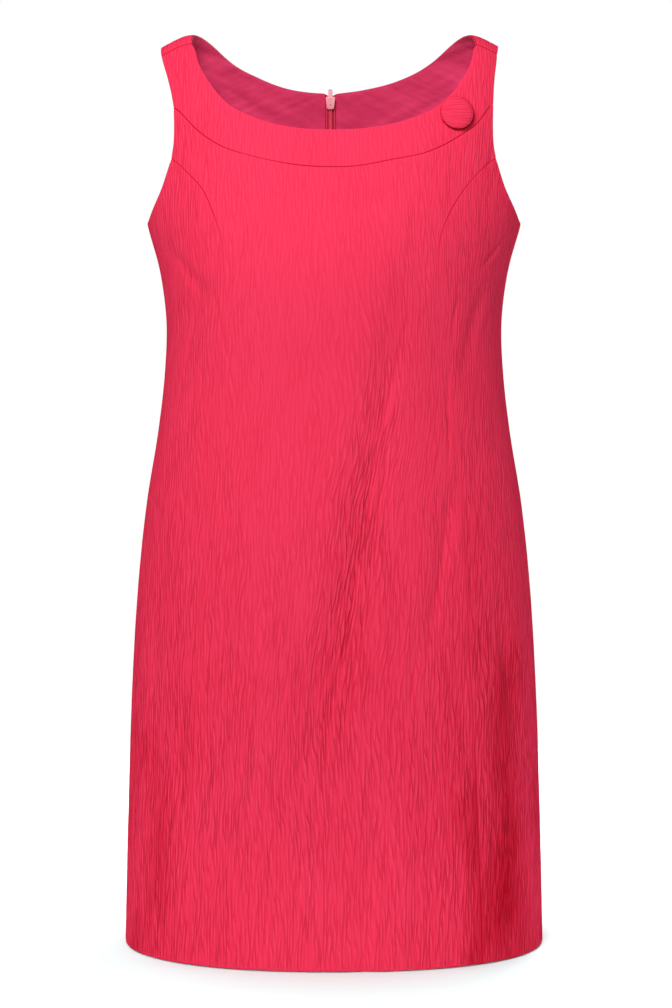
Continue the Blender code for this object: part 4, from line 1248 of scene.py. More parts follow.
# Fine crease families: lean, pitch, share of the pitch that sinks, seed.
CREASE_FAMILIES = (
    (0.01, 0.0031, 0.85, 1.7),
    (0.10, 0.0043, 0.60, 5.1),
    (-0.11, 0.0049, 0.52, 9.3),
)
RIDGE_HIGHLIGHT_STEP = 1.1            # from a crease to the painted highlight on the ridge beside it, as a turn
CREASE_SHADE_BOLD, CREASE_SHADE_PLAIN = 0.42, 0.12          # painted shade in the creases: times boldness, and always
RIDGE_HIGHLIGHT_BOLD, RIDGE_HIGHLIGHT_PLAIN = 0.75, 0.12        # painted highlight on the ridges, the same way
PADS_PER_MARK = 0.07        # how a point's mark paints light on the pads and shade in the hollows
SEAM_PER_MARK, SEAM_START = -0.5, 1.5       # marks far below 0 take the seam colour: painted shade along seams, round the button and under its edge
SHADE_START = 1.02
WEAVE_CELLS = (2600.0, 2600.0)
BLOTCH_CELLS = (22.0, 12.0)
WEAVE_SHARE = 0.04
CREASE_BUMP = 0.00085

# Cells for a metre across and down, or each way on a hard piece.
TWILL_CELLS = (2400.0, 1500.0)
PRESSED_CELLS = (90.0, 240.0)
TAPE_RIB_CELLS = (700.0, 3000.0)
NYLON_CELLS = 1600.0
ENAMEL_CELLS = 900.0
PAPER_CELLS = 60.0


@once
def crinkle_material():
    """Crinkled cloth: painted shade down in the creases, a painted highlight on the ridge beside
    each, fine forked relief.
    """
    colours = bpy.context.scene.dress_colours
    finish = Finish("crinkled_cloth")
    height = finish.mark("crinkle")
    bold = finish.mark("bold")
    slow = finish.noise(finish.slanted(*CREASE_SLOW_BEND), 1.0) - 0.5
    quick = finish.noise(finish.slanted(*CREASE_QUICK_BEND), 1.0) - 0.5
    creases = ridge_highlights = None
    for lean, pitch, width, seed in CREASE_FAMILIES:
        turns = finish.slanted((math.pi / pitch, math.pi / pitch * lean, 0), (0, 1, 0))
        turns = finish.node("ShaderNodeSeparateXYZ", {}, {0: turns})
        turns = turns + slow * SLOW_TURNS + quick * QUICK_TURNS
        # Each crease comes and goes along its length.
        shows = finish.noise(finish.slanted((170, 11, seed), (12, 21, seed)), 1.0)
        shows = ((shows - 0.27) * 2.4).held()
        line = (1.0 - abs(turns.sine()) / width).at_least(0.0) * shows
        ridge = (1.0 - abs((turns + RIDGE_HIGHLIGHT_STEP).sine()) / width).at_least(0.0) * shows
        creases = line if creases is None else creases.at_least(line)
        ridge_highlights = ridge if ridge_highlights is None else ridge_highlights.at_least(ridge)
    weave = finish.noise(finish.cut(*WEAVE_CELLS), 0.0)
    blotch = finish.noise(finish.cut(*BLOTCH_CELLS, shift=1.3), 2.0)
    # Painted shade in the fine creases.
    darker = creases * (bold * CREASE_SHADE_BOLD + CREASE_SHADE_PLAIN)
    # Painted light on the pads and painted shade in the hollows and creases, from the points'
    # marks.
    shade = (height * PADS_PER_MARK + SHADE_START - darker).held()
    # Painted shade along seams, round the button and under its edge takes the seam colour.
    seam = (SEAM_PER_MARK * height - SEAM_START).held()
    # Colour of the painted shade, blotched at random between two depths of it.
    deep = finish.blend(blotch, colours.cloth_deep_shade, colours.cloth_crease_shade)
    # Painted highlight on the ridge beside each crease.
    ridge_highlights = (ridge_highlights - creases).held() * (bold * RIDGE_HIGHLIGHT_BOLD + RIDGE_HIGHLIGHT_PLAIN)
    colour = finish.blend(ridge_highlights, colours.cloth, colours.cloth_ridge_highlight)
    colour = finish.blend(shade, deep, colour)
    colour = finish.blend(seam, colour, colours.cloth_seam)
    relief = weave * WEAVE_SHARE - creases * bold
    finish.set(Base_Color=colour, Roughness=0.60, Specular_IOR_Level=0.0,
               Normal=finish.bump(relief, CREASE_BUMP))
    finish.material.diffuse_color = (*colours.cloth, 1)
    return finish.material


@once
def facing_material():
    """Smooth facing cloth with a fine twill, soft streaks of painted shade and painted light near
    the neck edge.
    """
    colours = bpy.context.scene.dress_colours
    finish = Finish("facing_cloth")
    height = finish.mark("crinkle")
    light = finish.mark("bold")
    streak = finish.noise(finish.cut(*PRESSED_CELLS), 2.0)
    weave = finish.noise(finish.cut(*TWILL_CELLS), 0.0)
    # Painted shade in the streaks, painted light near the neck edge.
    share = (height * 0.75 + streak * 0.3 + light * 0.45 + 0.12).held()
    colour = finish.blend(share, colours.facing_deep, colours.facing)
    finish.set(Base_Color=colour, Roughness=0.5, Sheen_Weight=0.15,
               Sheen_Tint=(1.0, 0.6, 0.7, 1.0), Specular_IOR_Level=0.12,
               Normal=finish.bump(streak * 0.8 + weave * 0.3, 0.00018, 0.8))
    return finish.material


@once
def tape_material():
    """Woven zip tape, with painted shade between its ribs and a painted highlight on its raised
    cord.
    """
    colours = bpy.context.scene.dress_colours
    finish = Finish("zip_tape_cloth")
    ribs = finish.noise(finish.cut(*TAPE_RIB_CELLS), 0.0)
    cord = finish.mark("crinkle").held()
    # Painted shade between the ribs, then a painted highlight on the cord.
    colour = finish.blend(ribs, colours.tape_rib_shade, colours.tape)
    colour = finish.blend(cord, colour, colours.tape_cord_highlight)
    finish.set(Base_Color=colour, Roughness=0.6, Specular_IOR_Level=0.15,
               Normal=finish.bump(ribs, 0.0002, 0.7))
    return finish.material


@once
def coil_material():
    """Smooth nylon thread of the coil."""
    colours = bpy.context.scene.dress_colours
    finish = Finish("zip_coil_nylon")
    speck = finish.noise(finish.solid(NYLON_CELLS), 1.0, "3D")
    colour = finish.blend(speck, colours.coil_deep, colours.coil)
    finish.set(Base_Color=colour, Roughness=speck * 0.15 + 0.30, Specular_IOR_Level=0.5,
               Normal=finish.bump(speck, 0.00003, 0.4))
    return finish.material


@once
def enamel_material():
    """Pale enamel on the zip's slider and pull, slightly uneven."""
    colours = bpy.context.scene.dress_colours
    finish = Finish("zip_enamel")
    speck = finish.noise(finish.solid(ENAMEL_CELLS), 2.0, "3D")
    colour = finish.blend((speck * 1.4 - 0.2).held(), colours.enamel_deep, colours.enamel)
    finish.set(Base_Color=colour, Roughness=speck * 0.2 + 0.24, Coat_Weight=0.3,
               Coat_Roughness=0.15, Normal=finish.bump(speck, 0.00005, 0.5))
    return finish.material


@once
def floor_material():
    """Pale studio paper, very slightly mottled."""
    paper = bpy.context.scene.dress_colours.paper
    finish = Finish("studio_paper")
    grain = finish.noise(finish.solid(PAPER_CELLS), 3.0, "3D")
    mottled = tuple(part * 0.985 for part in paper)
    finish.set(Base_Color=finish.blend(grain, mottled, paper), Roughness=0.9)
    return finish.material


# ---------------------------------------------------------------- settings
def length_setting(name, about, default):
    return FloatProperty(name=name, description=about, default=default, min=0.0,
                         precision=5, subtype="DISTANCE", unit="LENGTH")


def colour_setting(name, about, default):
    return FloatVectorProperty(name=name, description=about, default=default, size=3,
                               min=0.0, max=1.0, subtype="COLOR")


def power_setting(name, about, default):
    return FloatProperty(name=name, description=about, default=default, min=0.0,
                         subtype="POWER", unit="POWER")


class DressSizes(PropertyGroup):
    """Sizes of the cloth's detail."""
    cloth: length_setting("Cloth wall", "Thickness of the panels", 0.0012)
    facing: length_setting("Facing wall", "Thickness of the facing and tapes", 0.0010)
    layer_gap: length_setting("Layer gap", "Space between a panel and what lies on it", 0.0003)
    seam_gap: length_setting("Seam gap", "Space between panels at a seam", 0.00012)
    seam_roll: length_setting("Seam roll", "How deep a seam pulls the cloth in", 0.00032)
    edge_roll: length_setting("Edge roll", "How far a turned edge rounds over", 0.00055)
    crinkle_depth: length_setting("Crinkle depth", "Height of the boldest crinkles", 0.00042)
    crinkle_pitch: length_setting("Crinkle pitch", "Typical width of a crinkle", 0.0044)
    coil_pitch: length_setting("Coil pitch", "From one turn of the zip's coil to the next",
                               0.0013)


class DressColours(PropertyGroup):
    """Colours of the dress and its floor."""
    cloth: colour_setting("Cloth", "Pads of the crinkled cloth", (0.92, 0.042, 0.108))
    # Painted highlight on the ridges beside the creases.
    cloth_ridge_highlight: colour_setting("Cloth on ridges", "Ridges beside the creases",
                                (0.97, 0.078, 0.162))
    # Colours of the painted shade in hollows, creases and the trough, and where crinkles crowd.
    cloth_crease_shade: colour_setting("Cloth in creases", "Creases of the cloth", (0.80, 0.005, 0.030))
    cloth_deep_shade: colour_setting("Cloth deep", "Deepest creases", (0.76, 0.004, 0.026))
    cloth_seam: colour_setting("Cloth in seams", "Shaded line along a seam", (0.50, 0.004, 0.016))
    facing: colour_setting("Facing", "Smooth neck facing", (0.95, 0.070, 0.200))
    facing_deep: colour_setting("Facing deep", "Shaded streaks of the facing",
                                (0.60, 0.030, 0.105))
    tape: colour_setting("Tape", "Zip tape", (0.62, 0.016, 0.055))
    # Painted shade between the tape's ribs, painted highlight on its raised cord.
    tape_rib_shade: colour_setting("Tape deep", "Between the tape's ribs", (0.40, 0.010, 0.035))
    tape_cord_highlight: colour_setting("Tape cord", "Raised cord of the tape", (0.95, 0.11, 0.22))
    coil: colour_setting("Coil", "Zip coil", (0.98, 0.13, 0.25))
    coil_deep: colour_setting("Coil deep", "Shaded zip coil", (0.85, 0.08, 0.17))
    enamel: colour_setting("Enamel", "Zip slider and pull", (1.0, 0.48, 0.54))
    enamel_deep: colour_setting("Enamel deep", "Worn enamel", (0.92, 0.38, 0.44))
    paper: colour_setting("Floor", "Studio floor and backdrop", (0.79, 0.97, 0.965))


class DressStage(PropertyGroup):
    """Strength of the lights."""
    key: power_setting("Key light", "Large light, front left", 46.5)
    floor: power_setting("Floor light", "Light on the floor from above", 104.0)
    fill: power_setting("Fill light", "Large light, front right", 4.0)
    neck: power_setting("Neck light", "Narrow light on the inside of the back", 28.0)
    rear: power_setting("Rear light", "Light on the back of the dress", 30.0)
    room: FloatProperty(name="Room light", description="Even light from all round",
                        default=0.25, min=0.0)


# ---------------------------------------------------------------- pieces
SIDES = ((-1, "right"), (1, "left"))


def lit_inside(piece):
    """Lets the neck light reach a piece."""
    bpy.data.collections["neck_inside"].objects.link(piece)


def deselect():
    if bpy.context.object and bpy.context.object.mode != "OBJECT":
        bpy.ops.object.mode_set(mode="OBJECT")
    bpy.ops.object.select_all(action="DESELECT")


def select_alone(piece):
    deselect()
    piece.select_set(True)
    bpy.context.view_layer.objects.active = piece


def open_whole():
    """Opens the active piece in edit mode with all of it selected."""
    bpy.ops.object.mode_set(mode="EDIT")
    bpy.ops.mesh.select_all(action="SELECT")


def make_front_yoke():
    grid = front_yoke_grid(YOKE_DOWN_CUTS, ACROSS_CUTS)
    crinkled_panel("front_yoke", grid, (BOTTOM, FIRST, LAST), 11)


def make_centre_front():
    grid = centre_front_grid(DOWN_CUTS, ACROSS_CUTS)
    crinkled_panel("centre_front", grid, (TOP, FIRST, LAST), 23)


def make_side_fronts():
    for side, word in SIDES:
        grid = side_front_grid(side, DOWN_CUTS, SIDE_CUTS)
        crinkled_panel("side_front_" + word, grid, (FIRST, LAST),
                       37 + side)


def make_backs():
    for side, word in SIDES:
        grid = back_grid(side, DOWN_CUTS, BACK_CUTS)
        crinkled_panel("back_" + word, grid, (TOP, FIRST, LAST), 53 + side)


def lying_inside(grid):
    """Points of a panel's outer face with its folds, and its normals."""
    normals = outward(grid[..., 0], grid[..., 1])
    relief = fold_relief(grid[..., 0], grid[..., 1], FOLDS)
    return form(grid[..., 0], grid[..., 1]) + normals * relief[..., None], normals


def clear_of_zip(face, cuts):
    """Pushes the first points of a facing's rows below the neck away from
    the zip, and the rest less and less."""
    for row in face[(BACK_NECK_CELLS - 1) * cuts:]:
        short = FACING_ZIP_CLEARANCE - abs(row[0, 0] - BACK_CENTRE)
        if short > 0:
            run = np.linalg.norm(row - row[0], axis=-1)
            push = np.clip(1 - run / FACING_PUSH_RUN, 0, 1) * short
            row += unit(row[cuts] - row[0]) * push[:, None]


def make_neck_facings():
    """Smooth facings inside the back neck, with soft slanting streaks: a slight swell and painted
    shade, and painted light near the neck edge.
    """
    sizes = bpy.context.scene.dress_sizes
    cuts = FACING_CUTS
    rows = (BACK_NECK_CELLS + FACING_DOWN_CELLS) * cuts + 1
    columns = FACING_ACROSS_CELLS * cuts + 1
    for side, word in SIDES:
        grid = back_grid(side, cuts, cuts)[:rows, :columns]
        face, normals = lying_inside(grid)
        clear_of_zip(face, cuts)
        across, down = cloth_place(grid[..., 0], grid[..., 1])
        away = np.abs(across)
        # Broad streaks, strongest on the straps, and finer ones across them: a slight swell, with
        # painted shade in the colour.
        streaks = wander(away / 0.021 - down / 0.012, down / 0.060 + away / 0.09, 71 + side)
        fine = wander(away / 0.011 + down / 0.006, down / 0.034, 75 + side)
        strap = rise(away, *FACING_STRAP)
        broad = FACING_STREAKS + (1 - FACING_STREAKS) * strap
        soft = streaks * broad + FACING_FINE * fine
        sewn = bell(edge_distance(face, FIRST), FACING_SEWN_WIDTH)
        inward = sizes.cloth + sizes.layer_gap * (1 - FACING_SEWN_SHARE * sewn)
        outer = face - normals * inward[..., None]
        swell = np.clip(soft, -0.6, 1.0) * FACING_SWELL
        inner = face - normals * (inward + sizes.facing + swell)[..., None]
        # Painted light near the neck edge, fading down the facing.
        light = np.exp(-edge_distance(face, TOP) / FACING_LIGHT_RUN)
        marks = np.stack([across, down, soft, light], axis=-1)
        piece = shell(f"neck_facing_{word}_cloth", inner, outer, marks, facing_material(),
                      list(range(0, rows, 2)), list(range(0, columns, 2)))
        lit_inside(piece)
        declare_cloth(piece, "neck_facing_" + word,
                      surface_area(inner))


def zip_edge(side):
    """Inner face of a back panel along the zip: its points, the way across
    the cloth away from the zip, the way out of the cloth, and the run."""
    sizes = bpy.context.scene.dress_sizes
    cuts = TAPE_CUTS
    face, normals = lying_inside(back_grid(side, cuts, cuts))
    rows = slice(BACK_NECK_CELLS * cuts, (BACK_NECK_CELLS + TAPE_END_ROW) * cuts + 1)
    edge = face[rows, 0]
    away = unit(face[rows, cuts] - edge)
    normals = normals[rows, 0]
    inward = sizes.cloth + sizes.layer_gap
    edge = edge + away * TAPE_SETBACK - normals * inward
    return edge, away, normals, run_along(edge)


def along_edge(line, at):
    """Points, ways across and ways out of a zip edge at given runs down it."""
    edge, away, normals, run = line
    return [np.stack([np.interp(at, run, axis) for axis in part.T], axis=-1)
            for part in (edge, away, normals)]


def make_zip_tapes():
    """Woven tapes inside the centre-back edges, ribbed, with a raised cord."""
    sizes = bpy.context.scene.dress_sizes
    spread = np.linspace(0, TAPE_WIDTH, TAPE_COLUMNS)
    cord = bell(spread - CORD_PLACE, CORD_WIDTH)
    ribs = RIB_HEIGHT * np.cos(spread / RIB_PITCH * math.tau) + CORD_HEIGHT * cord
    for side, word in SIDES:
        line = zip_edge(side)
        at = np.linspace(TAPE_TOP_DROP, line[3][-1], TAPE_ROWS)
        edge, away, facing = along_edge(line, at)
        outer = edge[:, None] + away[:, None] * spread[None, :, None]
        inner = outer - facing[:, None] * (sizes.facing + ribs)[None, :, None]
        # The cord's mark sets where its painted highlight goes.
        marks = np.broadcast_arrays(spread[None, :], at[:, None], (cord * 2 - 1)[None, :], 1.0)
        piece = shell(f"zip_tape_{word}_cloth", inner, outer, np.stack(marks, axis=-1),
                      tape_material(), list(range(0, TAPE_ROWS, 7)),
                      list(range(0, TAPE_COLUMNS, 2)))
        lit_inside(piece)
        declare_cloth(piece, "zip_tape_" + word,
                      surface_area(inner))


def coil_turn():
    """One turn of the zip's coil: a flattened ring of thin thread."""
    deselect()
    bpy.ops.mesh.primitive_torus_add(major_segments=10, minor_segments=5,
                                     major_radius=COIL_RADIUS, minor_radius=COIL_THREAD)
    turn = bpy.context.object
    open_whole()
    bpy.ops.transform.resize(value=(1.0, COIL_FLATTEN, 1.0))
    bpy.ops.object.mode_set(mode="OBJECT")
    turn.name = "coil_turn"
    return turn


def make_zip_coils():
    """Two rows of coil turns that meet under the slider, one mesh a row."""
    sizes = bpy.context.scene.dress_sizes
    turn = coil_turn()
    shape = np.array([vertex.co for vertex in turn.data.vertices])
    rings = np.array([face.vertices for face in turn.data.polygons])
    for side, word in SIDES:
        line = zip_edge(side)
        start = COIL_TOP_DROP + (sizes.coil_pitch / 2 if side > 0 else 0.0)
        at = np.arange(start, line[3][-1] - COIL_END_GAP, sizes.coil_pitch)
        edge, away, facing = along_edge(line, at)
        along = unit(np.gradient(edge, axis=0))
        middle = edge + away * COIL_ACROSS - facing * (sizes.facing + COIL_INSIDE)
        points = [middle[k] + shape @ np.stack([away[k], facing[k], along[k]])
                  for k in range(len(at))]
        faces = [rings + k * len(shape) for k in range(len(at))]
        mesh = bpy.data.meshes.new(f"zip_coil_{word}")
        mesh.from_pydata(np.concatenate(points).tolist(), [], np.concatenate(faces).tolist())
        mesh.shade_smooth()
        piece = new_object(f"zip_coil_{word}", mesh, coil_material())
        lit_inside(piece)
        select_alone(piece)
        open_whole()
        bpy.ops.mesh.normals_make_consistent(inside=False)
        bpy.ops.object.mode_set(mode="OBJECT")
        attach(piece, "dress")
    bpy.data.objects.remove(turn, do_unlink=True)


def smooth_copy(node, name, width):
    """Copy of a hard CAD piece with its edges rounded."""
    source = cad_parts[node]
    mesh = source.data.copy()
    mesh.name = name
    mesh.transform(source.matrix_world)
    mesh.materials.clear()
    piece = new_object(name, mesh, enamel_material())
    lit_inside(piece)
    select_alone(piece)
    open_whole()
    bpy.ops.mesh.remove_doubles(threshold=0.00002)
    bpy.ops.mesh.dissolve_limited(angle_limit=FLAT_ANGLE)
    bpy.ops.object.mode_set(mode="OBJECT")
    bevel = piece.modifiers.new("round", "BEVEL")
    bevel.width = width
    bevel.segments = 3
    bevel.limit_method = "ANGLE"
    bevel.angle_limit = ROUND_ANGLE
    bpy.ops.object.modifier_apply(modifier="round")
    bpy.ops.object.shade_smooth_by_angle(angle=SMOOTH_ANGLE)
    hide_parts(node)
    return piece


def sink(piece, cutter):
    """Cuts the shape of one piece out of another."""
    cut = piece.modifiers.new("sunk", "BOOLEAN")
    cut.operation = "DIFFERENCE"
    cut.object = cutter
    select_alone(piece)
    bpy.ops.object.modifier_apply(modifier="sunk")
    bpy.data.objects.remove(cutter, do_unlink=True)


def make_zip_hardware():
    """Slider and pull, with the hole and the groove in the slider's face."""
    slider = smooth_copy("zip_slider", "zip_slider_enamel", SLIDER_ROUNDING)
    lean = math.atan2(SLIDER_ALONG.y, -SLIDER_ALONG.z)
    deselect()
    bpy.ops.mesh.primitive_cylinder_add(vertices=20, radius=SLIDER_MARK_WIDTH,
                                        depth=2 * SLIDER_HOLE_DEEP,
                                        location=SLIDER_FOOT - SLIDER_ALONG * SLIDER_HOLE_UP,
                                        rotation=(lean + math.pi / 2, 0, 0))
    sink(slider, bpy.context.object)
    deselect()
    bpy.ops.mesh.primitive_cube_add(size=1.0, rotation=(lean, 0, 0),
                                    location=SLIDER_FOOT - SLIDER_ALONG * SLIDER_GROOVE_UP)
    bpy.ops.transform.resize(value=(SLIDER_MARK_WIDTH, SLIDER_GROOVE_DEEP, SLIDER_GROOVE_LONG),
                             orient_type="LOCAL")
    sink(slider, bpy.context.object)
    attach(slider, "dress")
    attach(smooth_copy("zip_pull", "zip_pull_enamel", PULL_ROUNDING), "pull_tab")


def button_frame():
    """Turned place of the button's back: Z is the way it faces."""
    turn, reach = at_place(BUTTON_PLACE.across, BUTTON_PLACE.height, -1)
    axis = Vector((math.sin(BUTTON_TILT_OUT), -math.cos(BUTTON_TILT_OUT), 0))
    axis = axis * math.cos(BUTTON_TILT_UP) + Vector((0, 0, math.sin(BUTTON_TILT_UP)))
    turned = axis.to_track_quat("Z", "Y").to_matrix().to_4x4()
    return Matrix.Translation(Vector(form(turn, reach))) @ turned


def button_profile():
    """Radius and height of the button's rings, from its back to its dome."""
    back = BUTTON_STANDOFF
    half = BUTTON_EDGE / 2
    edge = BUTTON_RADIUS - half
    profile = [(SHANK_RADIUS, back + 0.0002), (BUTTON_BACK_RADIUS, back)]
    for step in range(BUTTON_EDGE_STEPS + 1):
        angle = math.pi * (step / BUTTON_EDGE_STEPS - 0.5)
        profile.append((edge + half * math.cos(angle), back + half * (1 + math.sin(angle))))
    for step in range(1, BUTTON_DOME_STEPS):
        angle = math.pi / 2 * step / BUTTON_DOME_STEPS
        profile.append((edge * math.cos(angle),
                        back + BUTTON_EDGE + BUTTON_DOME * math.sin(angle)))
    return profile


def button_form():
    """Button with its shank, extruded ring by ring and rounded."""
    deselect()
    bpy.ops.mesh.primitive_circle_add(vertices=64, radius=SHANK_RADIUS, fill_type="NGON",
                                      location=(0, 0, SHANK_START))
    button = bpy.context.object
    button.name = "covered_button_cloth"
    open_whole()
    radius, height = SHANK_RADIUS, SHANK_START
    for wide, high in button_profile():
        move = {"value": (0, 0, high - height)}
        bpy.ops.mesh.extrude_region_move(TRANSFORM_OT_translate=move)
        bpy.ops.transform.resize(value=(wide / radius, wide / radius, 1.0))
        radius, height = wide, high
    bpy.ops.mesh.inset(thickness=radius * 0.5)
    bpy.ops.mesh.select_all(action="SELECT")
    bpy.ops.mesh.remove_doubles(threshold=0.00001)
    bpy.ops.mesh.normals_make_consistent(inside=False)
    bpy.ops.object.mode_set(mode="OBJECT")
    bpy.ops.object.transform_apply(location=True, rotation=True, scale=True)
    smooth = button.modifiers.new("rounded", "SUBSURF")
    smooth.levels = smooth.render_levels = 2
    bpy.ops.object.modifier_apply(modifier="rounded")
    return button


def make_covered_button():
    """Domed button covered in the crinkled cloth, on a short shank."""
    button = button_form()
    mesh = button.data
    turned = button_frame()
    place = np.array([vertex.co for vertex in mesh.vertices])
    normals = np.array([vertex.normal for vertex in mesh.vertices])
    in_room = place @ np.array(turned.to_3x3()).T
    upright, sideways = in_room[:, 2], in_room[:, 0]
    pitch = bpy.context.scene.dress_sizes.crinkle_pitch
    lift = crinkles(upright, sideways * 0.6, 91, pitch * BUTTON_FINER)
    raised = place[:, 2] - BUTTON_STANDOFF
    cover = rise(raised, 0, 0.001)
    # Painted shade on the button's back and the lower part of its edge, where it turns in towards
    # the yoke.
    underside_shade_height = BUTTON_EDGE * 0.8
    underside_shade = rise(underside_shade_height - raised, 0, underside_shade_height)
    place = place + normals * (lift * cover * BUTTON_CRINKLE)[:, None]
    for vertex, point in zip(mesh.vertices, place):
        vertex.co = turned @ Vector(point)
    # Painted light on the cover's crinkle pads, shade in their hollows, and the painted shade
    # under the edge.
    write_marks(mesh, np.stack([upright * 1.5 + 0.31, sideways + 0.17,
                                0.5 * lift * cover - 4.5 * underside_shade, BUTTON_BOLD * cover],
                               axis=-1))
    mesh.shade_smooth()
    mesh.materials.append(crinkle_material())
    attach(button, "dress")
    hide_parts("covered_button")


def add_lamp(name, power, lamp):
    """Adds a light that points at its aim: a rectangle, or a spot if the
    lamp has no size."""
    light = bpy.data.lights.new(name, "AREA" if lamp.size else "SPOT")
    light.energy = power
    if lamp.size:
        light.shape = "RECTANGLE"
        light.size, light.size_y = lamp.size
    else:
        light.spot_size = NECK_LAMP_ANGLE
        light.spot_blend = 1.0
        light.shadow_soft_size = NECK_LAMP_SOFTNESS
    holder = bpy.data.objects.new(name, light)
    bpy.context.collection.objects.link(holder)
    holder.location = lamp.place
    aim = Vector(lamp.aim) - Vector(lamp.place)
    holder.rotation_euler = aim.to_track_quat("-Z", "Y").to_euler()
    return holder


def lit_only(holder, name):
    """Limits a lamp to the pieces of one new collection."""
    pieces = bpy.data.collections.new(name)
    holder.light_linking.receiver_collection = pieces
    return pieces


def make_lamps(stage, floor):
    """Soft lights from the front, and one each for floor, neck and back."""
    add_lamp("key_light", stage.key, KEY_LAMP)
    above = add_lamp("floor_light", stage.floor, FLOOR_LAMP)
    lit_only(above, "floor_only").objects.link(floor)
    add_lamp("fill_light", stage.fill, FILL_LAMP)
    lit_only(add_lamp("neck_light", stage.neck, NECK_LAMP), "neck_inside")
    add_lamp("rear_light", stage.rear, REAR_LAMP)


def make_room(strength):
    """Even light from all round, seen by the camera as plain white."""
    world = bpy.data.worlds.new("studio_room")
    bpy.context.scene.world = world
    world.use_nodes = True
    nodes = world.node_tree.nodes
    links = world.node_tree.links
    room = nodes["Background"]
    white = nodes.new("ShaderNodeBackground")
    for shade, power in ((room, strength), (white, 1.0)):
        shade.inputs["Color"].default_value = (1, 1, 1, 1)
        shade.inputs["Strength"].default_value = power
    seen = nodes.new("ShaderNodeLightPath")
    either = nodes.new("ShaderNodeMixShader")
    links.new(seen.outputs["Is Camera Ray"], either.inputs["Fac"])
    links.new(room.outputs["Background"], either.inputs[1])
    links.new(white.outputs["Background"], either.inputs[2])
    links.new(either.outputs["Shader"], nodes["World Output"].inputs["Surface"])


def make_stage():
    """Floor, lights and camera."""
    stage = bpy.context.scene.dress_stage
    points = [(x, y, FLOOR_HEIGHT) for y in FLOOR_DEPTH for x in FLOOR_ACROSS]
    mesh = bpy.data.meshes.new("studio_floor")
    mesh.from_pydata(points, [], [(0, 1, 3, 2)])
    floor = new_object("studio_floor", mesh, floor_material())
    make_lamps(stage, floor)
    make_room(stage.room)
    camera = bpy.data.cameras.new("photo_view")
    camera.sensor_fit = "VERTICAL"
    camera.sensor_height = VIEW.sensor
    camera.lens = VIEW.lens
    holder = bpy.data.objects.new("photo_view", camera)
    bpy.context.collection.objects.link(holder)
    holder.location = (VIEW.across, -VIEW.distance, VIEW.height)
    holder.rotation_euler = (math.radians(90 - VIEW.tilt), 0, 0)
    bpy.context.scene.camera = holder
    bpy.context.scene.view_settings.view_transform = "Standard"


# ---------------------------------------------------------------- add-on
class DRESS_OT_stage(Operator):
    """Sets out the pale floor, the soft lights and the camera"""
    bl_idname = "dress.stage"
    bl_label = "Stage"

    def execute(self, context):
        make_stage()
        return {"FINISHED"}


class DRESS_OT_front_yoke(Operator):
    """Makes the curved yoke round the front neck, with its straps"""
    bl_idname = "dress.front_yoke"
    bl_label = "Front Yoke"

    def execute(self, context):
        make_front_yoke()
        return {"FINISHED"}


class DRESS_OT_centre_front(Operator):
    """Makes the middle front panel"""
    bl_idname = "dress.centre_front"
    bl_label = "Centre Front"

    def execute(self, context):
        make_centre_front()
        return {"FINISHED"}


class DRESS_OT_side_fronts(Operator):
    """Makes the two side front panels"""
    bl_idname = "dress.side_fronts"
    bl_label = "Side Fronts"

    def execute(self, context):
        make_side_fronts()
        return {"FINISHED"}


class DRESS_OT_backs(Operator):
    """Makes the two back panels, with the shoulders' tops"""
    bl_idname = "dress.backs"
    bl_label = "Backs"

    def execute(self, context):
        make_backs()
        return {"FINISHED"}


class DRESS_OT_neck_facings(Operator):
    """Makes the smooth facings inside the back neck"""
    bl_idname = "dress.neck_facings"
    bl_label = "Neck Facings"

    def execute(self, context):
        make_neck_facings()
        return {"FINISHED"}


class DRESS_OT_zip_tapes(Operator):
    """Makes the woven zip tapes"""
    bl_idname = "dress.zip_tapes"
    bl_label = "Zip Tapes"

    def execute(self, context):
        make_zip_tapes()
        return {"FINISHED"}


class DRESS_OT_zip_coils(Operator):
    """Makes the two rows of the zip's coil"""
    bl_idname = "dress.zip_coils"
    bl_label = "Zip Coils"

    def execute(self, context):
        make_zip_coils()
        return {"FINISHED"}


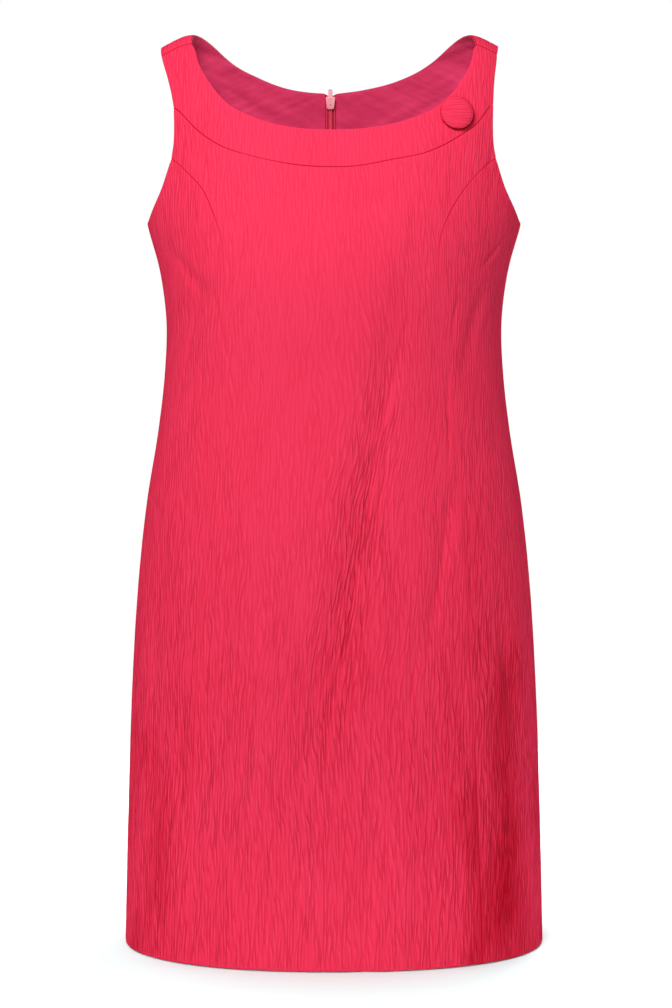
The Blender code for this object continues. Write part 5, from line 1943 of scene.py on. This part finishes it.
class DRESS_OT_zip_hardware(Operator):
    """Rounds the zip's slider and pull tab and enamels them"""
    bl_idname = "dress.zip_hardware"
    bl_label = "Zip Slider and Pull"

    def execute(self, context):
        make_zip_hardware()
        return {"FINISHED"}


class DRESS_OT_covered_button(Operator):
    """Covers the button in the crinkled cloth"""
    bl_idname = "dress.covered_button"
    bl_label = "Covered Button"

    def execute(self, context):
        make_covered_button()
        return {"FINISHED"}


STEPS = (
    DRESS_OT_stage, DRESS_OT_front_yoke, DRESS_OT_centre_front, DRESS_OT_side_fronts,
    DRESS_OT_backs, DRESS_OT_neck_facings, DRESS_OT_zip_tapes, DRESS_OT_zip_coils,
    DRESS_OT_zip_hardware, DRESS_OT_covered_button,
)


class DRESS_PT_sidebar(Panel):
    """Lists the dress's pieces and settings"""
    bl_label = "Sheath Dress"
    bl_idname = "DRESS_PT_sidebar"
    bl_space_type = "VIEW_3D"
    bl_region_type = "UI"
    bl_category = "Dress"

    def draw(self, context):
        layout = self.layout
        for step in STEPS:
            layout.operator(step.bl_idname)
        for settings in (context.scene.dress_sizes, context.scene.dress_colours,
                         context.scene.dress_stage):
            box = layout.box()
            for key in settings.__annotations__:
                box.prop(settings, key)


GROUPS = (DressSizes, DressColours, DressStage)
CLASSES = GROUPS + STEPS + (DRESS_PT_sidebar,)


def register():
    for kind in CLASSES:
        bpy.utils.register_class(kind)
    bpy.types.Scene.dress_sizes = PointerProperty(type=DressSizes)
    bpy.types.Scene.dress_colours = PointerProperty(type=DressColours)
    bpy.types.Scene.dress_stage = PointerProperty(type=DressStage)


def unregister():
    del bpy.types.Scene.dress_stage
    del bpy.types.Scene.dress_colours
    del bpy.types.Scene.dress_sizes
    for kind in reversed(CLASSES):
        bpy.utils.unregister_class(kind)


def main():
    register()
    bpy.ops.dress.stage()
    bpy.ops.dress.front_yoke()
    bpy.ops.dress.centre_front()
    bpy.ops.dress.side_fronts()
    bpy.ops.dress.backs()
    bpy.ops.dress.neck_facings()
    bpy.ops.dress.zip_tapes()
    bpy.ops.dress.zip_coils()
    bpy.ops.dress.zip_hardware()
    bpy.ops.dress.covered_button()


if __name__ == "__main__":
    main()
